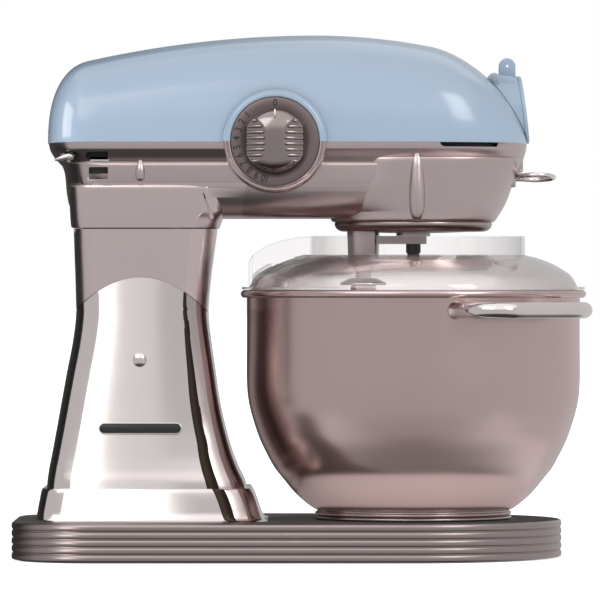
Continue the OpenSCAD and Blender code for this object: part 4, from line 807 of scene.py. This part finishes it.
def tone_front(obj, with_cove_shade=False, rows=COLUMN_ROWS):
    """Paints shade on the column's front: its front facets get a darker copy of the polished metal, and the
    cove behind them a near black one, both painted reflections of dark surroundings.
    """
    obj.data.materials.append(M["facet"])
    obj.data.materials.append(M["cove"])
    for f in obj.data.polygons:
        x, y, z = (c / MM for c in f.center)
        if abs(y) < 6 and x < front_at(z, rows) - 4:
            continue
        # Faces in the cove take the near black copy of the polished metal: painted shade.
        c, w = crease_at(z)
        behind = front_at(z, rows) - x
        if behind < c - 0.1 and obj.name != "column_shell":
            f.material_index = 1
        elif with_cove_shade and c - 0.1 <= behind < c + w and abs(y) > 40:
            f.material_index = 2


def pill(half_length, half_height, steps=24):
    run = half_length - half_height
    return arc(run, 0, half_height, -90, 90, steps) + arc(-run, 0, half_height, 90, 270, steps)


def make_badge():
    """A blank plate: a bright rim round a gloss black face."""
    tilt = shift(ARCH_X, -57.5, PLATE_Z) @ turned("X", -7.2)
    rim = prism("badge_rim", pill(29, 3.95), -1.5, 0, 0.25)
    cut(rim, prism("well", pill(28.5, 3.45), -3, -0.9))
    face = prism("badge_face", pill(28.4, 3.35), -1.45, -0.8, 0.15)
    for obj, look in ((rim, "chrome"), (face, "badge")):
        obj.data.transform(tilt)
        piece(obj, "stand", look, ["nameplate"])


# ---- bowl and guard
def make_bowl():
    wall = rows_between([(60, 33.5), *BOWL_ROWS, (117.5, 150), (117.5, 178)], 5)
    inner = [(r - BOWL_WALL, z + BOWL_WALL * 0.4) for r, z in wall if r > 66][::-1]
    rim_c, rr = (RIM_R - 2.75, BOWL_TOP - 2.75), 2.75
    rim = arc(*rim_c, rr, -122, 180, 36)
    profile = [(0, 33.5)] + wall + [(117.5, 182.8)] + rim + [(116.3, 183)] + inner + [(64.8, 34.7), (0, 34.7)]
    piece(lathe("bowl_shell", profile, segments=192), "bowl_set", "bowl", ["bowl"], 35)
    r = 69.0
    foot = [(64.5, 27.2), (68.3, 27.2)] + arc(r - 0.9, 28.4, 1.2, -90, 90, 8) + [(67.5, 30.1)] \
        + arc(r - 0.9, 31.5, 1.2, -90, 90, 8) + [(67.9, 33.0), (67.9, 33.6), (64.5, 33.6)]
    ring = lathe("bowl_foot_ring", foot, segments=160)
    for a in (32, 152, 272):
        add(ring, lathe("tab", [(54.5, 27.2), (65.5, 27.2), (65.5, 29.4), (54.5, 29.4)], segments=12,
                        start=a, sweep=18))
    # The foot ring takes the darker copy of the cast metal: painted shade.
    piece(ring, "bowl_set", "rose_dark", ["bowl_foot"], 35)

    c, reach, half = 20, HANDLE_REACH, HANDLE_HALF
    wall_y = -sqrt(BOWL_R ** 2 - half ** 2) + 1.6
    right = [(half, wall_y + (-reach + c - wall_y) * k / 8) for k in range(8)]
    right += [(half - c + c * cos(radians(a)), -reach + c - c * sin(radians(a)))
              for a in range(0, 91, 6)]
    path = right + [(half - c - (half - c) * 2 * k / 8, -reach) for k in range(1, 8)] \
        + [(-x, y) for x, y in right[::-1]]
    n = len(path)
    swell = [0.9, 0.35, 0.1]
    radii = [HANDLE_R + (swell[min(i, n - 1 - i)] if min(i, n - 1 - i) < 3 else 0) for i in range(n)]
    handle = sweep_tube("bowl_handle_bar", [(x, y, HANDLE_Z) for x, y in path], radii, 40)
    cut(handle, cylinder(BOWL_R - 0.05, HANDLE_Z - 20, HANDLE_Z + 20, segments=192))
    handle.data.transform(turned("Z", HANDLE_TURN))
    piece(handle, "bowl_set", "bright", ["bowl_handle"], 35)


def chute_outline(t):
    top = rows_between([(-58.8, COLLAR_TOP), (-82, 225.5), (-101.2, 220.6), (-108, 216.7), (-113.2, 213.0),
                        (CHUTE_LIP, 208.6)], 5)
    top = [(max(x, CHUTE_LIP + t), z) for x, z in top]
    return [(-74, 206), (-96, 198), (CHUTE_LIP + t, 190.9)] + top[::-1] + [(-58.8, 208)]


def make_guard():
    t = GUARD_WALL
    dome = rows_between(GUARD_ROWS[1:], 8)
    under = [(r - t * 0.6, z - t * 0.9) for r, z in dome[::-1] if 80 < r < 114]
    profile = [(113.6, 186), (115.6, 186), (115.6, 188.9), (120.6, 188.9), (121, 189.3), (121, 190.2)] \
        + [(120.6, 190.6)] + dome + [(COLLAR_R, 213.2), (COLLAR_R - t, 213.2), (COLLAR_R - t, 211.4)] + under \
        + [(113.6, 189.6)]
    skirt = lathe("guard_dome", profile, segments=192)
    profile = [(COLLAR_R - t, 213.3), (COLLAR_R, 213.3), (COLLAR_R, COLLAR_TOP - 0.5),
               (COLLAR_R - 0.5, COLLAR_TOP), (COLLAR_R - t + 0.5, COLLAR_TOP), (COLLAR_R - t, COLLAR_TOP - 0.5)]
    collar = lathe("guard_collar", profile, segments=192)
    chute = prism("chute", chute_outline(0), -CHUTE_HALF, CHUTE_HALF, 1.2, 3)

    def under_dome(grow):
        line = [(r + grow * 0.4, z + grow) for r, z in dome]
        return lathe("under", [(0, 180), (115.4 + grow, 180)] + line + [(0, 213 + grow)], segments=160)

    cut(chute, cylinder(COLLAR_R - 1, 200, 240, segments=160), under_dome(-0.6))
    add(collar, chute)
    inner = prism("chute_inside", chute_outline(t), -CHUTE_HALF + t, CHUTE_HALF - t)
    cut(inner, under_dome(t))
    cut(collar, inner, block("mouth", (-104, -CHUTE_HALF + t, 207), (-60, CHUTE_HALF - t, 241)))
    cut(skirt, block("feed", (-100, -CHUTE_HALF + 6, 195), (-84, CHUTE_HALF - 6, 225), 2, 3))
    piece(skirt, "guard", "guard_dome", ["splash_guard"], 24)
    piece(collar, "guard", "clear", ["splash_guard"], 24)


# ---- dial, nose and tool
def make_dial():
    y = DIAL_FACE
    profile = [(4.5, y + 2.2), (4.5, y + 0.4), (KNOB_R + 0.2, y + 0.4), (KNOB_R + 0.8, y),
               (DIAL_R - 0.9, y - 0.15), (DIAL_R - 0.3, y + 0.1), (DIAL_R - 0.05, y + 0.6),
               (DIAL_R - 0.05, y + 2.2)]
    piece(lathe("dial_disc", profile, DIAL, "Y", 128), "head", "dial", ["dial_plate"], 35)
    for k in range(11):
        turn = 0 if k == 0 else 46 + 13.2 * (k - 1)
        curve = bpy.data.curves.new(f"numeral_{k}", "FONT")
        curve.body, curve.size, curve.align_x, curve.align_y = str(k), 7.2 * MM, "CENTER", "CENTER"
        curve.extrude, curve.offset, curve.space_character = 0.12 * MM, 0.09 * MM, 0.9
        settle_text(new_object(f"numeral_{k}", curve), turn, 26.6)


def settle_text(text, turn, radius):
    """Turns a numeral into a mesh and stands it on the dial, its top outwards."""
    bpy.context.view_layer.update()
    mesh = bpy.data.meshes.new_from_object(text.evaluated_get(bpy.context.evaluated_depsgraph_get()))
    name, a = text.name, radians(turn)
    bpy.data.objects.remove(text)
    mesh.transform(shift(DIAL_X - radius * sin(a), DIAL_FACE - 0.12,
                         DIAL_Z + radius * cos(a)) @ turned("Y", -turn)
                   @ turned("X", 90) @ Matrix.Diagonal((0.82, 1, 1, 1)))
    piece(new_object(name, mesh), "head", "ink")


def make_knob():
    y = DIAL_FACE - 0.5
    dome = rows_between([(KNOB_R, 0), (KNOB_R, -7), (KNOB_R - 0.6, -10.2), (KNOB_R - 2.6, -13),
                         (KNOB_R - 7, -15.4), (KNOB_R - 13, -16.6), (0, -17)], 6)
    knob = lathe("knob", [(0, 0)] + dome, (DIAL_X, y, DIAL_Z), "Y", 128)
    keep(knob, block("sides", (DIAL_X - 19.5, -120, DIAL_Z - 30), (DIAL_X + 19.5, 0, DIAL_Z + 30)))

    def floor_at(x):
        return y - 14.2 + (abs(x) - 6) * 0.50

    for s in (-1, 1):
        n, rx, rz = 48, 13.6, 16.2
        rim = [(s * 18.9 + rx * se(cos(2 * pi * k / n), 2.4), rz * se(sin(2 * pi * k / n), 2.4))
               for k in range(n)]
        rings = [[(DIAL_X + x, at(x), DIAL_Z + z) for x, z in rim] for at in (lambda x: y - 30, floor_at)]
        cut(knob, loft("scoop", rings))
    for s in (-1, 1):
        for k in range(8):
            z = 4 * k - 14
            x0 = 18.9 - 13.6 * max(0.05, 1 - abs(z / 16.2) ** 2.4) ** (1 / 2.4) + 1.5
            x1 = min(19.4, sqrt(21.3 ** 2 - z * z))
            if x1 - x0 > 1.5:
                stops = (x0, x0 + 0.4, x0 + 1.2, x1 - 0.6, x1)
                line = [(DIAL_X + s * x, floor_at(x) - 0.2, DIAL_Z + z) for x in stops]
                add(knob, sweep_tube("rib", line, [0.35, 0.95, 1.3, 1.3, 1.1], 16))
    cut(knob, block("notch", (DIAL_X - 0.55, -100, DIAL_Z + 15.5), (DIAL_X + 0.55, y - 9, DIAL_Z + 26)))
    add(knob, cylinder(3.9, y - 1, y + 6.5, "Y", DIAL, 40))
    piece(knob, "dial", "knob", ["speed_knob"], 35)
    corners = (DIAL_X - 0.5, y - 13.3, DIAL_Z + 15.7), (DIAL_X + 0.5, y - 8.6, DIAL_Z + 21.9)
    piece(block("knob_mark", *corners, 0.2), "dial", "mark")


def flap_plane(z):
    """x of the flap's leaning front face at a height."""
    return 83.5 - tan(radians(7.4)) * (z - 280)


def make_flap():
    n = 128

    def ring(r, back):
        out = []
        for k in range(n):
            a = 2 * pi * k / n
            z = FLAP_Z + r * sin(a)
            out.append((flap_plane(z) - back if back is not None else FLAP_PIN[0] - 4.2, r * cos(a), z))
        return out

    steps = [(0, None), (0, 3.1), (0.5, 2.85), (0.5, 2.55), (0, 2.3), (0, 1), (0.15, 0.5), (0.5, 0.15),
             (1.1, 0)]
    flap = loft("flap_shell", [ring(FLAP_R - inset, back) for inset, back in steps])
    cut(flap, cylinder(19, 40, 73, "X", (0, 0, OUTLET_Z), 96))
    tongue = arc(FLAP_PIN[0], FLAP_PIN[2], 4.3, 80, 292, 20)
    tongue += [(62.4, 328.4), (72, 322), (74, 334.6), (70, 338.6), (61.6, 339.8)]
    for s in (-1, 1):
        a, b = span(s, 7.4, 15)
        add(flap, prism("tongue", tongue, a, b, 0.5, 3))
    add(flap, prism("web", [(62, 335.4), (68.7, 334), (68.7, 339.2), (62, 339.4)], -12, 12, 0.4),
        prism("lug", [(60.3, 334), (72.1, 334)] + arc(66.2, 346.2, 5.9, 0, 180, 24), -3.4, 3.4, 0.7, 3))
    grown = cover_form("grown", 0, 72, 0)
    grown.data.transform(shift(0.45, 0, PART_Z) @ Matrix.Diagonal((1, 1.008, 1.008, 1))
                         @ shift(0, 0, -0.4 - PART_Z))
    cut(flap, grown)
    for s in (-1, 1):
        a, b = span(s, 15, 30)
        cut(flap, cylinder(5, a, b, "Y", FLAP_PIN, 64))
    cut(flap, cylinder(5, -7.4, 7.4, "Y", FLAP_PIN, 64))
    cut(flap, cylinder(1.55, -30, 30, "Y", FLAP_PIN, 32), cylinder(1, -10, 10, "Y", (66.4, 0, 346.6), 32))
    piece(flap, "flap", "blue", ["outlet_flap"], 30)


def make_ring():
    wire = RING_WIRE / 2
    ring = lathe("finger_ring", arc(RING_R - wire, 0, wire, 0, 345, 23), (RING_X, 0, RING_Z), "Z", 96)
    add(ring, lathe("stem", [(0, 42), (4.6, 42), (5, 42.4), (5, 44), (3, 44), (3, 77), (2.4, 78.4), (0, 78.4)],
                    (0, 0, RING_Z), "X", 48))
    ring.data.transform(shift(0, 0, RING_Z) @ turned("X", -7) @ shift(0, 0, -RING_Z))
    piece(ring, "plunger", "chrome", ["ring_pull"], 40)


def hook_point(t):
    a, r = radians(250 * t), 27 * sin(radians(180 * t ** 0.8)) + 6 * t
    return (BEATER_X + r * cos(a), r * sin(a) * 0.75, 176 - 132 * t + 7 * t ** 6)


def make_tool():
    path = [hook_point(k / 90) for k in range(91)]
    hook = sweep_tube("dough_hook_bar", path, [5.4 - 1.4 * k / 90 for k in range(91)], 28)
    add(hook, lathe("shank", [(0, 172), (5.0, 172), (5.6, 176), (5.6, 187), (8.4, 187), (9, 187.6),
                              (9, 191.4), (8.4, 192),
                              (5.6, 192), (5.6, 196), (0, 196)], (BEATER_X, 0, 0), "Z", 48))
    piece(hook, "beater", "bright", ["dough_hook"], 40)
    shield = [(5.6, 192), (15.9, 192), (16.3, 192.4), (16.3, 193.2), (15.8, 193.8), (9.4, 196.8),
              (8.8, 197), (5.6, 197)]
    piece(lathe("drip_shield", shield, (BEATER_X, 0, 0), "Z", 96), "beater", "rose", ["tool_shield"], 40)


def make_hub():
    rim = rows_between([(47, 231.0), (50, 229.8), (54, 231.6), (55.5, 234.0)], 5)
    ring = lathe("hub_trim", rim + [(55.5, 235.6), (55.0, 236.5), (47, 236.5)], segments=160)
    # The trim under the head takes the darker copy of the cast metal: painted shade.
    piece(ring, "head", "rose_dark", ["drip_ring"], 40)


for member in (make_cover, make_shell, make_liners, make_lever, make_base, make_column, make_badge,
               make_bowl, make_guard, make_dial,
               make_knob, make_flap, make_ring, make_tool, make_hub):
    member()


# ---- finish of the CAD pieces
look_of = {row["node"]: LOOKS_OF_SLOT[row["material_slot"]].split()[0] for row in frame["record"]["subparts"]}
for look, nodes in OTHER_LOOKS.items():
    look_of.update(dict.fromkeys(nodes.split(), look))
for node, look in look_of.items():
    mesh = frame["nodes"][node].data
    mesh.materials.clear()
    mesh.materials.append(M[look])


# ---- studio
# Brightness of the surroundings by compass angle, as the polished pieces reflect them.
AROUND = [(-180, 0.58), (-110, 0.56), (-90, 0.55), (-55, 0.58), (0, 0.63), (60, 0.66), (86, 0.58),
          (98, 0.03), (140, 0.08),
          (152, 0.30), (163, 0.20), (175, 0.58), (180, 0.58)]
SOFTBOX_TILT, SOFTBOX_REACH, SOFTBOX_LEVEL = 62.0, (50.0, 43.0), 1.1
FLOOR_REACH, FLOOR_LEVEL = (-34, -53), 0.05
LIGHTS = [
    # name, place, aim, size, watts, lit pieces (all when None), casts shadows
    ("key", (-1.3, -2.2, 1.9), (-0.08, 0, 0.22), (1.9, 1.7), 14.0, None, True),
    ("shoulder", (1.15, -1.5, 1.25), (0.05, 0, 0.30), (0.65, 1.0), 8.0, None, True),
    ("top_strip", (-0.08, 0.6, 1.4), (-0.08, 0, 0.36), (2.0, 0.7), 3.0, "cover", True),
    ("rear_fill", (-1.5, -0.2, 0.6), (-0.25, 0, 0.33), (0.9, 0.7), 7.5, "cover", True),
    ("panel_strip", (-0.50, -1.6, 0.32), (-0.19, 0, 0.13), (0.2, 1.5), 1.8, "polished", True),
    ("panel_wash", (-0.25, -1.6, 0.13), (-0.19, 0, 0.13), (0.24, 0.6), 0.11, "polished", True),
    ("foot_wash", (-0.31, -1.6, 0.55), (-0.22, 0, 0.04), (0.32, 0.9), 1.0, "foot", True),
    ("bowl_fill", (0.0, 0.35, -1.0), (0, 0.35, 0.1), (4.4, 2.9), 8.0, "bowl", False),
    ("base_strip", (-1.1, -1.1, 0.1), (-0.2, 0, 0.0), (0.5, 0.5), 2.8, "base", True),
]
LIT_PIECES = {"base": "base_body", "bowl": "bowl_shell", "cover": "cover_shell", "foot": "column_foot",
              "polished": "arched_panel column_foot"}


def grey(v):
    return (v, v, v, 1)


def surroundings():
    """The room that the pieces reflect. The camera itself sees white."""
    world = bpy.data.worlds.new("studio")
    scene.world = world
    world.use_nodes = True
    t = world.node_tree
    seen = t.nodes["Background"]
    seen.inputs["Color"].default_value = (1, 1, 1, 1)
    direction = put(t, "TexCoord").outputs["Generated"]
    parts = put(t, "SeparateXYZ", direction).outputs
    angle = put(t, "Math", parts["Y"], parts["X"], operation="ARCTAN2")
    turn = put(t, "MapRange", angle, -pi, pi)
    ramp = put(t, "ValToRGB", turn)
    stops = ramp.color_ramp.elements
    stops[0].color, stops[1].color = grey(AROUND[0][1]), grey(AROUND[-1][1])
    for degrees, level in AROUND[1:-1]:
        stops.new((degrees + 180) / 360).color = grey(level)
    tilt = radians(SOFTBOX_TILT)
    towards = put(t, "VectorMath", direction, (0, -cos(tilt), sin(tilt)), operation="DOT_PRODUCT")
    near = put(t, "Math", towards.outputs["Value"], operation="ARCCOSINE")
    height = put(t, "Math", parts["Z"], operation="ARCSINE")
    colour = ramp.outputs["Color"]
    zones = (near, SOFTBOX_REACH, SOFTBOX_LEVEL), (height, FLOOR_REACH, FLOOR_LEVEL)
    for source, (low, high), level in zones:
        blend = put(t, "MapRange", source, radians(low), radians(high))
        colour = put(t, "Mix", data_type="RGBA", Factor=blend, A=colour,
                     B=grey(level)).outputs["Result"]
    rays = put(t, "LightPath")
    room = put(t, "Background", colour)
    pick = put(t, "MixShader", rays.outputs["Is Camera Ray"], room, seen)
    t.links.new(pick.outputs[0], t.nodes["World Output"].inputs["Surface"])


def studio():
    floor = build("floor", [(-40000, -40000, 0), (40000, -40000, 0), (40000, 40000, 0), (-40000, 40000, 0)],
                  [[0, 1, 2, 3]])
    flag = build("flag", [(-335, -52, 8), (-335, 300, 8), (-335, 300, 285), (-335, -52, 285)], [[0, 1, 2, 3]])
    bounce = lathe("bounce", [(72, 27.5), (106, 27.5), (106, 27.9), (72, 27.9)], segments=96)
    shader_of("floor_paper", Base_Color=grey(0.9), Roughness=0.9, Specular_IOR_Level=0.1,
              Emission_Color=grey(1),
              Emission_Strength=0.72)
    shader_of("bounce_card", Emission_Color=(1, 0.97, 0.96, 1), Emission_Strength=0.17)
    for obj, look in ((floor, "floor_paper"), (flag, "black"), (bounce, "bounce_card")):
        obj.data.materials.append(M[look])
    floor.visible_glossy = bounce.visible_transmission = False
    for card in (flag, bounce):
        card.visible_camera = card.visible_shadow = card.visible_diffuse = False
    surroundings()
    lit = {}
    for key, names in LIT_PIECES.items():
        lit[key] = bpy.data.collections.new("lit_" + key)
        for name in names.split():
            lit[key].objects.link(bpy.data.objects[name])
    for name, place, aim, size, power, only, shadows in LIGHTS:
        light = bpy.data.lights.new(name, "AREA")
        light.shape, light.size, light.size_y, light.energy = "RECTANGLE", *size, power
        light.use_shadow = shadows
        lamp = new_object(name, light)
        lamp.location = place
        lamp.rotation_euler = (Vector(aim) - Vector(place)).to_track_quat("-Z", "Y").to_euler()
        if only:
            lamp.light_linking.receiver_collection = lit[only]


def camera():
    cam = bpy.data.cameras.new("camera")
    cam.sensor_width, cam.lens, cam.shift_y, cam.clip_end = 36.0, 365.4, -10 / 600, 50
    scene.camera = new_object("camera", cam)
    scene.camera.location = (-0.080, -4.3, 0.1885)
    scene.camera.rotation_euler = (radians(90), 0, 0)


studio()
camera()
scene.view_settings.view_transform = "Standard"
scene.view_settings.look = "None"
